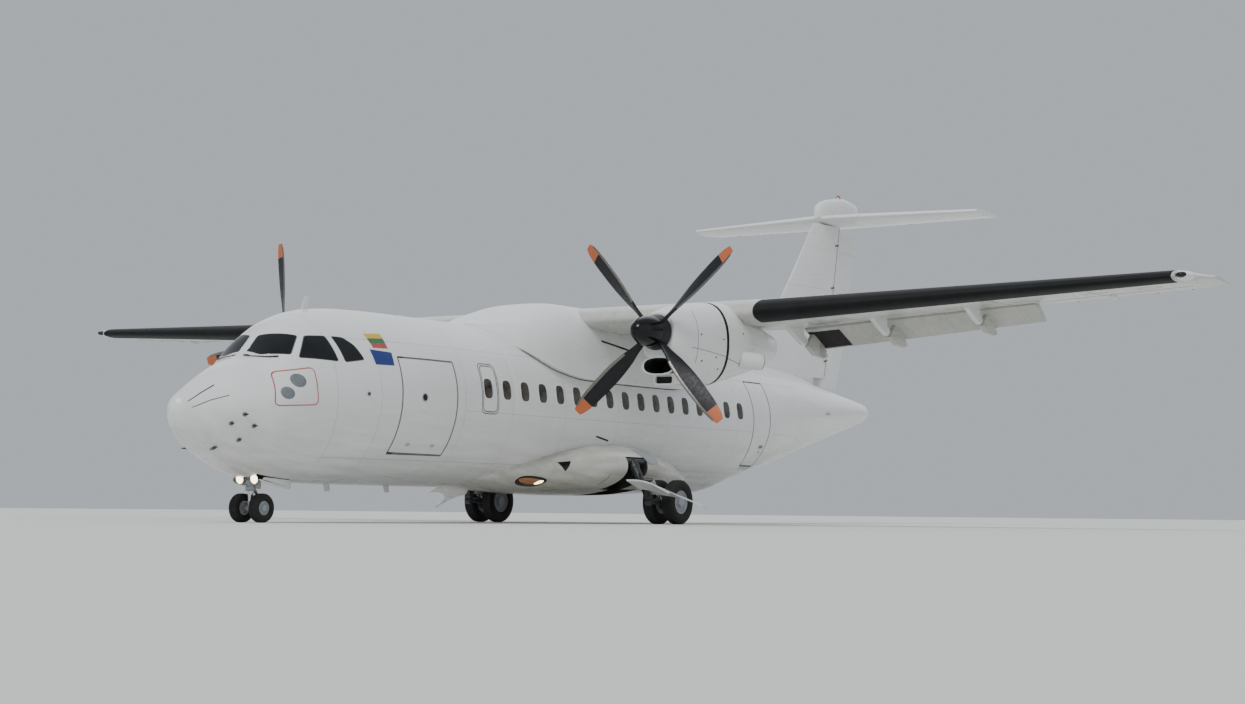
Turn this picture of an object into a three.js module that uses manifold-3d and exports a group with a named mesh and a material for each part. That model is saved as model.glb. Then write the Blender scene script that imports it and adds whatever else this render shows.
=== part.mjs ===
// A twin-turboprop regional airliner with a high wing and a T-tail, parked on its landing gear.
// Millimetres: +X to the nose, +Y to port, +Z up. The origin is on the ground, mid-length and mid-span.
// "aft" is a distance behind the tip of the nose, as an aircraft's stations are numbered.

import * as THREE from 'three';
import { mergeVertices } from 'three/addons/utils/BufferGeometryUtils.js';
import Module from 'manifold-3d';

const wasm = await Module();
wasm.setup();

// Driving dimensions
const LENGTH = 22670;
const HALF_SPAN = 12285;
const CABIN_RADIUS = 1432;
const CABIN_AXIS_Z = 2045;
const TOUCH_GAP = 0.4;
const MOVING_GAP = 8;
const SKIN = 70;

const station = (aft) => LENGTH / 2 - aft;
const SIDES = [['port', 1], ['starboard', -1]];

// Finishes: colour, roughness, metalness
const FINISHES = {
  white_paint: [0xe9eaec, 0.35, 0],
  grey_paint: [0x9ca3a8, 0.45, 0],
  spinner_black: [0x101113, 0.35, 0],
  blade_grey: [0x2b2d31, 0.4, 0.1],
  bare_metal: [0xa9adb1, 0.35, 0.9],
  gear_paint: [0xb9bec2, 0.4, 0.2],
  tyre: [0x151516, 0.85, 0],
  glass: [0x1b2530, 0.08, 0],
  lamp_glass: [0xfff2cf, 0.1, 0],
  engine_iron: [0x55585c, 0.5, 0.8],
};

// Solids and their joins

function solidOf(geometry) {
  const bare = geometry.index ? geometry.toNonIndexed() : geometry.clone();
  for (const name of Object.keys(bare.attributes)) {
    if (name !== 'position') bare.deleteAttribute(name);
  }
  const merged = mergeVertices(bare, 1e-3);
  const triangles = [];
  const corners = merged.index.array;
  for (let i = 0; i < corners.length; i += 3) {
    const [a, b, c] = [corners[i], corners[i + 1], corners[i + 2]];
    if (a !== b && b !== c && c !== a) triangles.push(a, b, c);
  }
  const vertices = new Float32Array(merged.attributes.position.array);
  const facing = (corner) => new wasm.Manifold(new wasm.Mesh({
    numProp: 3,
    vertProperties: vertices,
    triVerts: new Uint32Array(corner),
  }));
  const solid = facing(triangles);
  return solid.volume() > 0 ? solid : facing(triangles.reverse());
}

function geometryOf(solid) {
  const mesh = solid.getMesh();
  const geometry = new THREE.BufferGeometry();
  const positions = new Float32Array(mesh.vertProperties);
  geometry.setAttribute('position', new THREE.BufferAttribute(positions, 3));
  geometry.setIndex(new THREE.BufferAttribute(new Uint32Array(mesh.triVerts), 1));
  const flat = geometry.toNonIndexed();
  flat.computeVertexNormals();
  return flat;
}

const joined = (...solids) => solids.reduce((sum, piece) => sum.add(piece));

// A closed skin over rings of equal length, each ring a list of [x, y, z], its two ends fanned shut
function loft(rings) {
  const around = rings[0].length;
  const points = rings.flat();
  const faces = [];
  for (let i = 0; i + 1 < rings.length; i += 1) {
    for (let j = 0; j < around; j += 1) {
      const next = (j + 1) % around;
      const [a, b] = [i * around + j, i * around + next];
      const [c, d] = [a + around, b + around];
      faces.push([a, b, d], [a, d, c]);
    }
  }
  for (const [ring, flip] of [[0, true], [rings.length - 1, false]]) {
    const middle = points.length;
    const sum = rings[ring].reduce((m, p) => m.map((v, k) => v + p[k] / around), [0, 0, 0]);
    points.push(sum);
    for (let j = 0; j < around; j += 1) {
      const [a, b] = [ring * around + j, ring * around + (j + 1) % around];
      faces.push(flip ? [middle, b, a] : [middle, a, b]);
    }
  }
  const geometry = new THREE.BufferGeometry();
  const flat = faces.flatMap((face) => face.flatMap((index) => points[index]));
  geometry.setAttribute('position', new THREE.BufferAttribute(new Float32Array(flat), 3));
  return solidOf(geometry);
}

// A box between two stations
function block(aft0, aft1, y0, y1, z0, z1) {
  const box = new THREE.BoxGeometry(aft1 - aft0, y1 - y0, z1 - z0);
  box.translate(station((aft0 + aft1) / 2), (y0 + y1) / 2, (z0 + z1) / 2);
  return solidOf(box);
}

// A round bar between two points given as [aft, y, z]
function rod(from, to, radius, endRadius = radius, sides = 12) {
  const a = new THREE.Vector3(station(from[0]), from[1], from[2]);
  const b = new THREE.Vector3(station(to[0]), to[1], to[2]);
  const bar = new THREE.CylinderGeometry(endRadius, radius, a.distanceTo(b), sides);
  const along = new THREE.Vector3().subVectors(b, a).normalize();
  bar.applyQuaternion(new THREE.Quaternion().setFromUnitVectors(new THREE.Vector3(0, 1, 0), along));
  bar.translate((a.x + b.x) / 2, (a.y + b.y) / 2, (a.z + b.z) / 2);
  return solidOf(bar);
}

// A profile of [radius, along] turned about the Y axis, with a flat of its facets at the bottom
function turned(profile, sides) {
  const lathe = new THREE.LatheGeometry(profile.map(([r, y]) => new THREE.Vector2(r, y)), sides);
  lathe.rotateY(Math.PI / sides);
  return solidOf(lathe);
}

// A flat outline of [aft, z] points, as thick as y1 - y0
function plateAcross(outline, y0, y1) {
  const shape = new THREE.Shape(outline.map(([aft, z]) => new THREE.Vector2(station(aft), z)));
  const plate = new THREE.ExtrudeGeometry(shape, { depth: y1 - y0, bevelEnabled: false });
  plate.rotateX(Math.PI / 2);
  plate.translate(0, y1, 0);
  return solidOf(plate);
}

const aircraft = new THREE.Group();

function add(name, shape, finish, parent = aircraft) {
  const [color, roughness, metalness] = FINISHES[finish];
  const material = new THREE.MeshStandardMaterial({ color, roughness, metalness });
  const mesh = new THREE.Mesh(shape.isBufferGeometry ? shape : geometryOf(shape), material);
  mesh.name = name;
  parent.add(mesh);
  return mesh;
}

// Fuselage: ovals whose widest height may sit off the middle
// aft, top, bottom, half width, height of the widest point
const FUSELAGE_SECTIONS = [
  [0, 1690, 1610, 35, 1650],
  [60, 1845, 1425, 140, 1650],
  [200, 1945, 1278, 260, 1652],
  [500, 2110, 1080, 480, 1675],
  [1000, 2380, 850, 760, 1730],
  [1400, 2560, 725, 935, 1775],
  [1800, 2950, 660, 1035, 1835],
  [2200, 3215, 632, 1110, 1895],
  [2800, 3392, 617, 1215, 1965],
  [3600, 3462, 613, 1335, 2035],
  [4400, 3476, 613, 1415, CABIN_AXIS_Z],
  [5200, 3477, 613, CABIN_RADIUS, CABIN_AXIS_Z],
  [9000, 3477, 613, CABIN_RADIUS, CABIN_AXIS_Z],
  [14400, 3477, 613, CABIN_RADIUS, CABIN_AXIS_Z],
  [15200, 3477, 770, 1410, 2090],
  [16200, 3460, 985, 1345, 2180],
  [17200, 3415, 1210, 1220, 2300],
  [18300, 3345, 1460, 1045, 2400],
  [19700, 3150, 1765, 740, 2480],
  [21100, 2975, 2075, 455, 2540],
  [22100, 2860, 2290, 280, 2580],
  [22560, 2790, 2430, 170, 2610],
  [LENGTH, 2700, 2560, 60, 2630],
];
const FUSELAGE_POINTS = 32;

function oval(x, top, bottom, halfWidth, widest, grow, points = FUSELAGE_POINTS, power = 1) {
  return Array.from({ length: points }, (_, i) => {
    const angle = (2 * Math.PI * (i + 0.5)) / points;
    const [c, s] = [Math.cos(angle), Math.sin(angle)];
    const reach = (s > 0 ? top - widest : widest - bottom) + grow;
    const across = Math.sign(c) * Math.abs(c) ** power * (halfWidth + grow);
    return [x, across, widest + Math.sign(s) * Math.abs(s) ** power * reach];
  });
}

function fuselageBody(grow) {
  return loft(FUSELAGE_SECTIONS.map(([aft, top, bottom, half, widest]) => (
    oval(station(aft), top, bottom, half, widest, grow))));
}

const fuselage = fuselageBody(0);
const fuselageRoom = fuselageBody(TOUCH_GAP);
const fuselageInside = fuselageBody(-SKIN);
const fuselageRecess = fuselageBody(-SKIN - MOVING_GAP);

// Doors: stations of the fore and rear edges, sill and head heights, and side
const PASSENGER_DOOR = { fore: 14930, rear: 15650, sill: 1200, head: 2880, side: 1 };
const CARGO_DOOR = { fore: 3760, rear: 5050, sill: 1130, head: 2640, side: 1 };
const SERVICE_DOOR = { fore: 14960, rear: 15570, sill: 1400, head: 2640, side: -1 };
const DOORS = {
  passenger_door: PASSENGER_DOOR,
  cargo_door: CARGO_DOOR,
  service_door: SERVICE_DOOR,
};
const DOOR_DEPTH_Y = 600;
const OUTSIDE_Y = 1600;

function doorBlock({ fore, rear, sill, head, side }, grow, inner = DOOR_DEPTH_Y) {
  const [y0, y1] = side > 0 ? [inner, OUTSIDE_Y] : [-OUTSIDE_Y, -inner];
  return block(fore - grow, rear + grow, y0, y1, sill - grow, head + grow);
}

// The passenger door is flat inside and carries the stairs, and the cargo door opens into the hold, so both
// doorways are deep and flat-backed
const STAIR_PANEL_Y = 880;
const VESTIBULE_Y = 730;
const HOLD_Y = 850;
const { fore: stairFore, rear: stairRear, sill: stairSill, head: stairHead } = PASSENGER_DOOR;
const behindPanel = block(stairFore, stairRear, 0, STAIR_PANEL_Y, stairSill, stairHead);
const doorways = doorBlock(SERVICE_DOOR, MOVING_GAP)
  .subtract(fuselageRecess)
  .add(doorBlock(PASSENGER_DOOR, MOVING_GAP, VESTIBULE_Y))
  .add(doorBlock(CARGO_DOOR, MOVING_GAP, HOLD_Y));

// The cargo door swings up about its head, so its underside follows a circle about the hinge
const CARGO_HINGE = { y: 1305, z: 2646, reach: 1530 };
const cargoSwing = rod(
  [CARGO_DOOR.fore, CARGO_HINGE.y, CARGO_HINGE.z],
  [CARGO_DOOR.rear, CARGO_HINGE.y, CARGO_HINGE.z],
  CARGO_HINGE.reach,
  CARGO_HINGE.reach,
  96,
);

// Treads that lie level when the door is down; each is a flat plate on the stair panel
const DOOR_DOWN = 118;
const TREAD = { depth: 210, thick: 26, side: 60, first: 1330, pitch: 285, count: 5 };

function stairs() {
  const treads = Array.from({ length: TREAD.count }, (_, i) => {
    const width = stairRear - stairFore - 2 * TREAD.side;
    const plate = new THREE.BoxGeometry(width, TREAD.depth, TREAD.thick);
    plate.translate(0, TREAD.depth / 2 - TREAD.thick, 0);
    plate.rotateX(THREE.MathUtils.degToRad(DOOR_DOWN));
    plate.translate(station((stairFore + stairRear) / 2), STAIR_PANEL_Y, TREAD.first + i * TREAD.pitch);
    return solidOf(plate);
  });
  return joined(...treads);
}

// The bay that the nose leg folds into, open between its two rear doors
const NOSE_BAY = { fore: 1560, rear: 2290, halfWidth: 300, roof: 1240 };
const BELOW_BELLY = 200;
const noseBay = block(
  NOSE_BAY.fore,
  NOSE_BAY.rear,
  -NOSE_BAY.halfWidth,
  NOSE_BAY.halfWidth,
  BELOW_BELLY,
  NOSE_BAY.roof,
);

// The main wheels' wells and the slots for their legs, cut up through the belly fairing and the fuselage
const WELL = { fore: 10040, rear: 10980, inner: 260, outer: 1130, roof: 1050 };
const LEG_SLOT = { fore: 9760, rear: 10420, inner: 1100, outer: 1900, roof: 1220 };

function wellOf(side, { fore, rear, inner, outer, roof }) {
  const [y0, y1] = side > 0 ? [inner, outer] : [-outer, -inner];
  return block(fore, rear, y0, y1, BELOW_BELLY, roof);
}

const wells = joined(...SIDES.flatMap(([, side]) => [wellOf(side, WELL), wellOf(side, LEG_SLOT)]));

// Cockpit glazing: three panes a side, cut from the skin by pyramids that open out of the pilots' heads
// Each outline is on the port side: aft, y, z
const EYE_POINT = [2450, 0, 2300];
const PANES = {
  front: [[1746, 90, 2880], [2027, 613, 2880], [1787, 712, 2570], [1400, 90, 2550]],
  middle: [[2124, 683, 2880], [2440, 807, 2900], [2506, 1030, 2510], [1880, 800, 2525]],
  rear: [[2560, 838, 2900], [2755, 890, 2880], [2900, 1000, 2780], [3000, 1100, 2560], [2640, 1070, 2510]],
};
const PANE_DEPTH = 40;
const BACKING_DEPTH = 20;
const BAND = [[1700, -20, 2930], [2030, 640, 2930], [2560, 860, 2950], [2830, 900, 2900], [3060, 1120, 2540],
  [2500, 1060, 2470], [1760, 760, 2510], [1340, -20, 2500]];

// A pyramid from the eye point through an outline drawn in by an inset, from short of the skin to past it
function sightCone(outline, side, inset = 0) {
  const middle = new THREE.Vector3();
  for (const corner of outline) middle.addScaledVector(new THREE.Vector3(...corner), 1 / outline.length);
  const corners = outline.map((corner) => {
    const point = new THREE.Vector3(...corner);
    const inward = new THREE.Vector3().subVectors(middle, point).setLength(inset);
    return point.add(inward).toArray();
  });
  const at = (scale) => corners.map((corner) => {
    const [aft, y, z] = corner.map((value, axis) => EYE_POINT[axis] + (value - EYE_POINT[axis]) * scale);
    return [station(aft), side * y, z];
  });
  return loft([at(0.5), at(1.4)]);
}

const skinLayer = (from, to) => fuselageBody(from).subtract(fuselageBody(to));
const PANE_INSET = 1.5;
const paneCones = (inset) => joined(...SIDES.flatMap(([, side]) => (
  Object.values(PANES).map((pane) => sightCone(pane, side, inset)))));
const bandCones = (inset) => joined(...SIDES.map(([, side]) => sightCone(BAND, side, inset)));
const BACKING_TOP = BACKING_DEPTH - PANE_DEPTH;
const backing = skinLayer(BACKING_TOP, -PANE_DEPTH).intersect(bandCones(PANE_INSET));
const glazing = skinLayer(0, BACKING_TOP - 1).intersect(paneCones(PANE_INSET)).add(backing);
const backingRoom = skinLayer(BACKING_TOP + TOUCH_GAP, -PANE_DEPTH - TOUCH_GAP).intersect(bandCones(0));
const glazingRoom = skinLayer(100, BACKING_TOP - 1).intersect(paneCones(0)).add(backingRoom);

// The fuselage is made in four lengths, as the real one is
const FUSELAGE_LENGTHS = [
  ['fuselage_nose', -100, 5300],
  ['fuselage_centre', 5300, 14250],
  ['fuselage_rear', 14250, 19700],
  ['tail_cone', 19700, LENGTH + 100],
];
const openFuselage = fuselage.subtract(doorways).subtract(noseBay).subtract(wells).subtract(glazingRoom);
for (const [name, fore, rear] of FUSELAGE_LENGTHS) {
  const length = block(fore + TOUCH_GAP / 2, rear - TOUCH_GAP / 2, -2000, 2000, 0, 4000);
  add(name, openFuselage.intersect(length), 'white_paint');
}
const leafWork = {
  passenger_door: (leaf) => leaf.subtract(behindPanel).add(stairs()),
  cargo_door: (leaf) => leaf.subtract(fuselageInside).intersect(cargoSwing),
  service_door: (leaf) => leaf.subtract(fuselageInside),
};
for (const [name, door] of Object.entries(DOORS)) {
  add(name, leafWork[name](fuselage.intersect(doorBlock(door, 0))), 'white_paint');
}
add('cockpit_glazing', glazing, 'glass');

// Aerofoils: half thickness and camber as fractions of the chord
const TRAIL_EDGE = 0.002;
const FORWARD_STEPS = [0, 0.012, 0.05, 0.12, 0.22, 0.35, 0.5, 0.65];

function halfThickness(x, ratio) {
  const curve = 0.2969 * Math.sqrt(x) - 0.126 * x - 0.3516 * x ** 2 + 0.2843 * x ** 3 - 0.1036 * x ** 4;
  return 5 * ratio * curve + TRAIL_EDGE * x;
}

function camber(x, most) {
  return x < 0.4 ? (most / 0.16) * (0.8 * x - x * x) : (most / 0.36) * (0.2 + 0.8 * x - x * x);
}

const surface = (section, x, side) => camber(x, section.camber) + side * halfThickness(x, section.ratio);

// A section's point at a fraction of the chord and a height as a fraction of the chord
function onSection(section, x, height) {
  const { lead, chord, drop = 0, upright = false } = section;
  const aft = lead[0] + x * chord;
  if (upright) return [station(aft), lead[1] + height * chord, lead[2]];
  return [station(aft), lead[1], lead[2] - x * drop + height * chord];
}

// The whole aerofoil from the trailing edge over the top, round the nose and back underneath
function aerofoilRing(section, grow = 0, steps = [...FORWARD_STEPS, 0.8, 0.92, 1]) {
  const extra = grow / section.chord;
  const upper = [...steps].reverse().map((x) => [x, surface(section, x, 1) + extra]);
  const lower = steps.slice(1).map((x) => [x, surface(section, x, -1) - extra]);
  return [...upper, ...lower].map(([x, h]) => {
    const stretched = x === 0 ? -extra : x === 1 ? 1 + extra : x;
    return onSection(section, stretched, h);
  });
}

function between(a, b, t) {
  const mix = (p, q) => p + (q - p) * t;
  return {
    lead: a.lead.map((v, k) => mix(v, b.lead[k])),
    chord: mix(a.chord, b.chord),
    ratio: mix(a.ratio, b.ratio),
    camber: mix(a.camber, b.camber),
    drop: mix(a.drop ?? 0, b.drop ?? 0),
    upright: a.upright,
  };
}

// Wing stations: y, aft of the leading edge, chord, height of the leading edge, thickness ratio
const WING_CHORD = 2570;
const WING_BREAK_Y = 4850;
const WING_TIP_Y = 11900;
const WING_CAMBER = 0.028;
const INCIDENCE = Math.tan(THREE.MathUtils.degToRad(2));

function wingSection(y, aft, chord, height, ratio) {
  return { lead: [aft, y, height], chord, ratio, camber: WING_CAMBER, drop: chord * INCIDENCE };
}

function wingStations(side) {
  return {
    root: wingSection(0, 8970, WING_CHORD, 3680, 0.18),
    crank: wingSection(side * WING_BREAK_Y, 8970, WING_CHORD, 3680, 0.18),
    tip: wingSection(side * WING_TIP_Y, 9690, 1490, 3985, 0.13),
    end: wingSection(side * HALF_SPAN, 10480, 900, 4010, 0.06),
  };
}

const outerAt = (side, y) => {
  const { crank, tip } = wingStations(side);
  return between(crank, tip, (Math.abs(y) - WING_BREAK_Y) / (WING_TIP_Y - WING_BREAK_Y));
};
const innerAt = (side, y) => {
  const { root, crank } = wingStations(side);
  return between(root, crank, Math.abs(y) / WING_BREAK_Y);
};
const wingAt = (side, y) => (Math.abs(y) > WING_BREAK_Y ? outerAt(side, y) : innerAt(side, y));

// Slotted flaps: the bay under the shroud, and the flap that swings on brackets below the wing
const FLAP_HINGE = { x: 0.735, h: -0.125 };
const FLAP_DOWN = THREE.MathUtils.degToRad(30);
const FLAP_NOSE = 0.722;
const SHROUD_END = 0.845;
const SHROUD_THICK = 0.009;

function flapBayRing(section) {
  const under = (x) => surface(section, x, 1) - SHROUD_THICK;
  const outline = [
    [0.7, -0.3], [0.7, -0.01], [0.706, under(0.706) - 0.012], [0.73, under(0.73)], [0.79, under(0.79)],
    [SHROUD_END, under(SHROUD_END)], [SHROUD_END, 0.3], [1.2, 0.3], [1.2, -0.3],
  ];
  return outline.map(([x, h]) => onSection(section, x, h));
}

function flapRing(section) {
  const top = (x) => surface(section, x, 1);
  const foot = (x) => surface(section, x, -1);
  const under = (x) => top(x) - SHROUD_THICK - MOVING_GAP / section.chord;
  const outline = [
    [1, top(1)], [0.93, top(0.93)], [0.885, top(0.885) - 0.002], [0.852, under(0.852)], [0.83, under(0.83)],
    [0.78, under(0.78) - 0.002], [0.74, under(0.74) - 0.012], [FLAP_NOSE, foot(FLAP_NOSE) + 0.02],
    [FLAP_NOSE + 0.008, foot(FLAP_NOSE + 0.008) + 0.004], [0.75, foot(0.75)], [0.85, foot(0.85)],
    [0.93, foot(0.93)], [1, foot(1)],
  ];
  return outline.map(([x, h]) => onSection(section, x, h));
}

// A retracted flap in a group that stands on its hinge line and is swung down about it
function addFlap(name, side, solid, from, to) {
  const onHinge = (y) => new THREE.Vector3(...onSection(wingAt(side, side * y), FLAP_HINGE.x, FLAP_HINGE.h));
  const [inner, outer] = [onHinge(from), onHinge(to)];
  const axis = new THREE.Vector3().subVectors(outer, inner).normalize().multiplyScalar(side);
  const hinge = new THREE.Group();
  hinge.position.copy(inner);
  hinge.quaternion.setFromAxisAngle(axis, -FLAP_DOWN);
  aircraft.add(hinge);
  add(name, solid.translate([-inner.x, -inner.y, -inner.z]), 'white_paint', hinge);
}

// A plain hinged surface: round nose about its hinge, in a bay that keeps the moving gap
const ARC_STEPS = 6;

function noseArc(section, hinge, grow) {
  const middle = camber(hinge, section.camber);
  const radius = halfThickness(hinge, section.ratio) * 0.97 + grow / section.chord;
  return Array.from({ length: ARC_STEPS + 1 }, (_, i) => {
    const angle = Math.PI / 2 + (Math.PI * i) / ARC_STEPS;
    return [hinge + radius * Math.cos(angle), middle + radius * Math.sin(angle)];
  });
}

function hingedBayRing(section, hinge) {
  const arc = noseArc(section, hinge, MOVING_GAP);
  const outline = [[1.3, 0.4], [hinge, 0.4], ...arc, [hinge, -0.4], [1.3, -0.4]];
  return outline.map(([x, h]) => onSection(section, x, h));
}

function hingedRing(section, hinge) {
  const arc = noseArc(section, hinge, 0);
  const late = hinge + (1 - hinge) * 0.5;
  const outline = [
    [1, surface(section, 1, 1)], [late, surface(section, late, 1)], ...arc,
    [late, surface(section, late, -1)], [1, surface(section, 1, -1)],
  ];
  return outline.map(([x, h]) => onSection(section, x, h));
}

// Movable pieces of the wing: from and to distances off the centre line
const INNER_FLAP = [1660, 3420];
const OUTER_FLAP = [4700, 9120];
const AILERON = [9320, 11880];
const AILERON_HINGE = 0.76;
// The outer flap's hinge line rises outboard, so the flap shifts that way as it goes down
const FLAP_END_GAP = 32;

function ringsBetween(side, ring, from, to) {
  const stops = from < WING_BREAK_Y && to > WING_BREAK_Y ? [from, WING_BREAK_Y, to] : [from, to];
  return stops.map((y) => ring(wingAt(side, side * y)));
}

function wingHalf(side, grow) {
  const { root, crank, tip, end } = wingStations(side);
  return loft([root, crank, tip, end].map((section) => aerofoilRing(section, grow)));
}

function wingBays(side) {
  const bays = [INNER_FLAP, OUTER_FLAP].map(([from, to]) => (
    loft(ringsBetween(side, flapBayRing, from - MOVING_GAP, to + FLAP_END_GAP))));
  const aileronRing = (section) => hingedBayRing(section, AILERON_HINGE);
  const [inner, outer] = AILERON;
  const ends = [outerAt(side, side * (inner - MOVING_GAP)), outerAt(side, side * (outer + MOVING_GAP))];
  bays.push(loft(ends.map(aileronRing)));
  return joined(...bays);
}

// Flap brackets hang below the wing on blade-shaped fairings: the fixed fore half and the flap's own rear
// half, which meet on a round joint about the hinge
const FLAP_BRACKETS = { inner: [2560], outer: [4765, 6400, 8150] };
const BRACKET_HALF = 45;
const BRACKET_FORE = [
  [0.42, -0.03], [0.7, 0], [0.7, -0.085], [0.735, -0.099], [0.761, -0.125], [0.735, -0.151], [0.7, -0.155],
  [0.55, -0.1],
];
const BRACKET_REAR = [
  [0.79, -0.01], [0.769, -0.105], [0.7695, -0.125], [0.765, -0.148], [0.88, -0.14], [1.0, -0.085],
  [1.05, -0.035], [0.95, 0.002],
];

function bracket(side, y, shape) {
  const { lead, chord, drop } = wingAt(side, side * y);
  const outline = shape.map(([x, h]) => [lead[0] + x * chord, lead[2] - x * drop + h * chord]);
  return plateAcross(outline, side * y - BRACKET_HALF, side * y + BRACKET_HALF);
}

for (const [name, side] of SIDES) {
  const half = wingHalf(side, 0).subtract(wingBays(side));
  const outer = block(7000, 14000, WING_BREAK_Y + TOUCH_GAP / 2, HALF_SPAN + 100, 3000, 4500);
  const region = side > 0 ? outer : outer.mirror([0, 1, 0]);
  const onOuter = FLAP_BRACKETS.outer.filter((y) => y > WING_BREAK_Y);
  const brackets = onOuter.map((y) => bracket(side, y, BRACKET_FORE).subtract(wingHalf(side, -1)));
  add(`wing_outer_${name}`, joined(half.intersect(region), ...brackets), 'white_paint');
  for (const [label, span] of [['inner', INNER_FLAP], ['outer', OUTER_FLAP]]) {
    const hingeFrom = label === 'inner' ? span[0] : WING_BREAK_Y;
    const carried = FLAP_BRACKETS[label].map((y) => bracket(side, y, BRACKET_REAR));
    const flap = joined(loft(ringsBetween(side, flapRing, ...span)), ...carried);
    addFlap(`flap_${label}_${name}`, side, flap, hingeFrom, span[1]);
  }
  const aileronRings = AILERON.map((y) => hingedRing(outerAt(side, side * y), AILERON_HINGE));
  add(`aileron_${name}`, loft(aileronRings), 'white_paint');
}

const wingFull = joined(wingHalf(1, 0), wingHalf(-1, 0)).subtract(wingBays(1)).subtract(wingBays(-1));
const CENTRE_HALF = WING_BREAK_Y - TOUCH_GAP / 2;
const centreRegion = block(7000, 14000, -CENTRE_HALF, CENTRE_HALF, 3000, 4500);
const onCentre = [...FLAP_BRACKETS.inner, ...FLAP_BRACKETS.outer].filter((y) => y < WING_BREAK_Y);
const centreBrackets = SIDES.flatMap(([, side]) => onCentre.map((y) => (
  bracket(side, y, BRACKET_FORE).subtract(wingHalf(side, -1)))));
add('wing_centre', joined(wingFull.intersect(centreRegion), ...centreBrackets), 'white_paint');
const wingRoom = joined(wingHalf(1, TOUCH_GAP), wingHalf(-1, TOUCH_GAP));

// Wing-root fairing, a saddle over the fuselage that the wing passes through
// aft, top, foot height, half width
const ROOT_FAIRING = [
  [6900, 3490, 3300, 500],
  [7400, 3600, 3000, 1130],
  [8100, 3830, 2700, 1380],
  [8900, 4010, 2580, 1460],
  [10600, 4010, 2560, 1460],
  [11900, 3890, 2570, 1450],
  [12900, 3700, 2800, 1330],
  [13900, 3500, 3300, 480],
];

function saddleRing([aft, top, foot, half]) {
  const x = station(aft);
  const rise = top - foot;
  const outline = [
    [1, 0], [1, 0.35], [0.96, 0.62], [0.86, 0.83], [0.66, 0.95], [0.35, 1], [0, 1],
  ];
  const right = outline.map(([across, up]) => [x, across * half, foot + up * rise]);
  const left = outline.slice(0, -1).reverse().map(([across, up]) => [x, -across * half, foot + up * rise]);
  return [...right, ...left, [x, 0, foot + 0.02 * rise]];
}

const saddle = loft(ROOT_FAIRING.map(saddleRing)).subtract(fuselageRoom).subtract(wingRoom);
const keepAbove = block(6000, 15000, -2000, 2000, 2400, 5000);
const saddlePieces = saddle.intersect(keepAbove).decompose();
const biggest = (pieces) => pieces.reduce((a, b) => (b.volume() > a.volume() ? b : a));
add('wing_root_fairing', biggest(saddlePieces), 'white_paint');

// Belly fairing with its two gear pods and the wheel wells
// aft, half width, bottom, top, height of the widest point
const BELLY_FAIRING = [
  [6450, 500, 640, 900, 760],
  [7000, 850, 600, 1060, 880],
  [7700, 1200, 565, 1250, 960],
  [8500, 1500, 535, 1480, 1010],
  [9300, 1680, 515, 1620, 1040],
  [10000, 1740, 510, 1630, 1050],
  [10700, 1720, 520, 1580, 1040],
  [11500, 1560, 545, 1430, 1000],
  [12500, 1220, 580, 1180, 900],
  [13600, 600, 630, 900, 780],
];
const BELLY_POINTS = 28;
const bellyBody = loft(BELLY_FAIRING.map(([aft, half, bottom, top, widest]) => (
  oval(station(aft), top, bottom, half, widest, 0, BELLY_POINTS, 0.95))));
const belly = bellyBody.subtract(fuselageRoom).subtract(wells);
add('belly_fairing', biggest(belly.decompose()), 'grey_paint');

// Engine nacelles: ovals below the wing, in a front cowl and a rear body that meet at the seam
const ENGINE_Y = 4050;
const THRUST_Z = 3190;
const SEAM_AFT = 8500;
// aft, top, bottom, half width, height of the widest point
const NACELLE_SECTIONS = [
  [7040, 3520, 2800, 330, 3190],
  [7200, 3590, 2560, 380, 3170],
  [7500, 3670, 2400, 440, 3130],
  [7900, 3740, 2340, 490, 3080],
  [8500, 3810, 2390, 505, 3100],
  [8940, 3840, 2480, 500, 3130],
  [9300, 3680, 2560, 480, 3150],
  [10000, 3560, 2730, 400, 3180],
  [10700, 3420, 2930, 240, 3200],
];
const ENGINE_BLOCK = { fore: 7650, rear: 9700, half: 320, bottom: 2780, top: 3440 };
const INTAKE = { aft: 7010, z: 2640, halfWidth: 260, halfHeight: 110, depth: 700 };
const SHAFT_RADIUS = 90;
// The exhaust pipe leaves the outboard side: points along it as aft, distance off the engine's middle, height
const EXHAUST = {
  line: [[9050, 380, 2870], [9200, 478, 2854], [9420, 620, 2830], [9500, 672, 2821]],
  radius: 150,
  bore: 125,
};

// Ovals about an engine's middle, each row as in the table above
function nacelleLoft(side, sections, points, power) {
  return loft(sections.map(([aft, top, bottom, half, widest]) => (
    oval(station(aft), top, bottom, half, widest, 0, points, power)
      .map(([x, y, z]) => [x, y + side * ENGINE_Y, z]))));
}

const SCOOP_SECTIONS = [
  [7080, 2790, 2490, 330, INTAKE.z],
  [7350, 2815, 2465, 350, INTAKE.z],
  [7900, 2800, 2480, 330, INTAKE.z],
  [8500, 2700, 2580, 200, INTAKE.z],
];
const mouthAt = (aft) => (
  [aft, INTAKE.z + INTAKE.halfHeight, INTAKE.z - INTAKE.halfHeight, INTAKE.halfWidth, INTAKE.z]);
const MOUTH_SECTIONS = [mouthAt(INTAKE.aft), mouthAt(INTAKE.aft + INTAKE.depth)];

function enginePlace(side, grow) {
  const { fore, rear, half, bottom, top } = ENGINE_BLOCK;
  const y = side * ENGINE_Y;
  return block(fore - grow, rear + grow, y - half - grow, y + half + grow, bottom - grow, top + grow);
}

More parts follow.
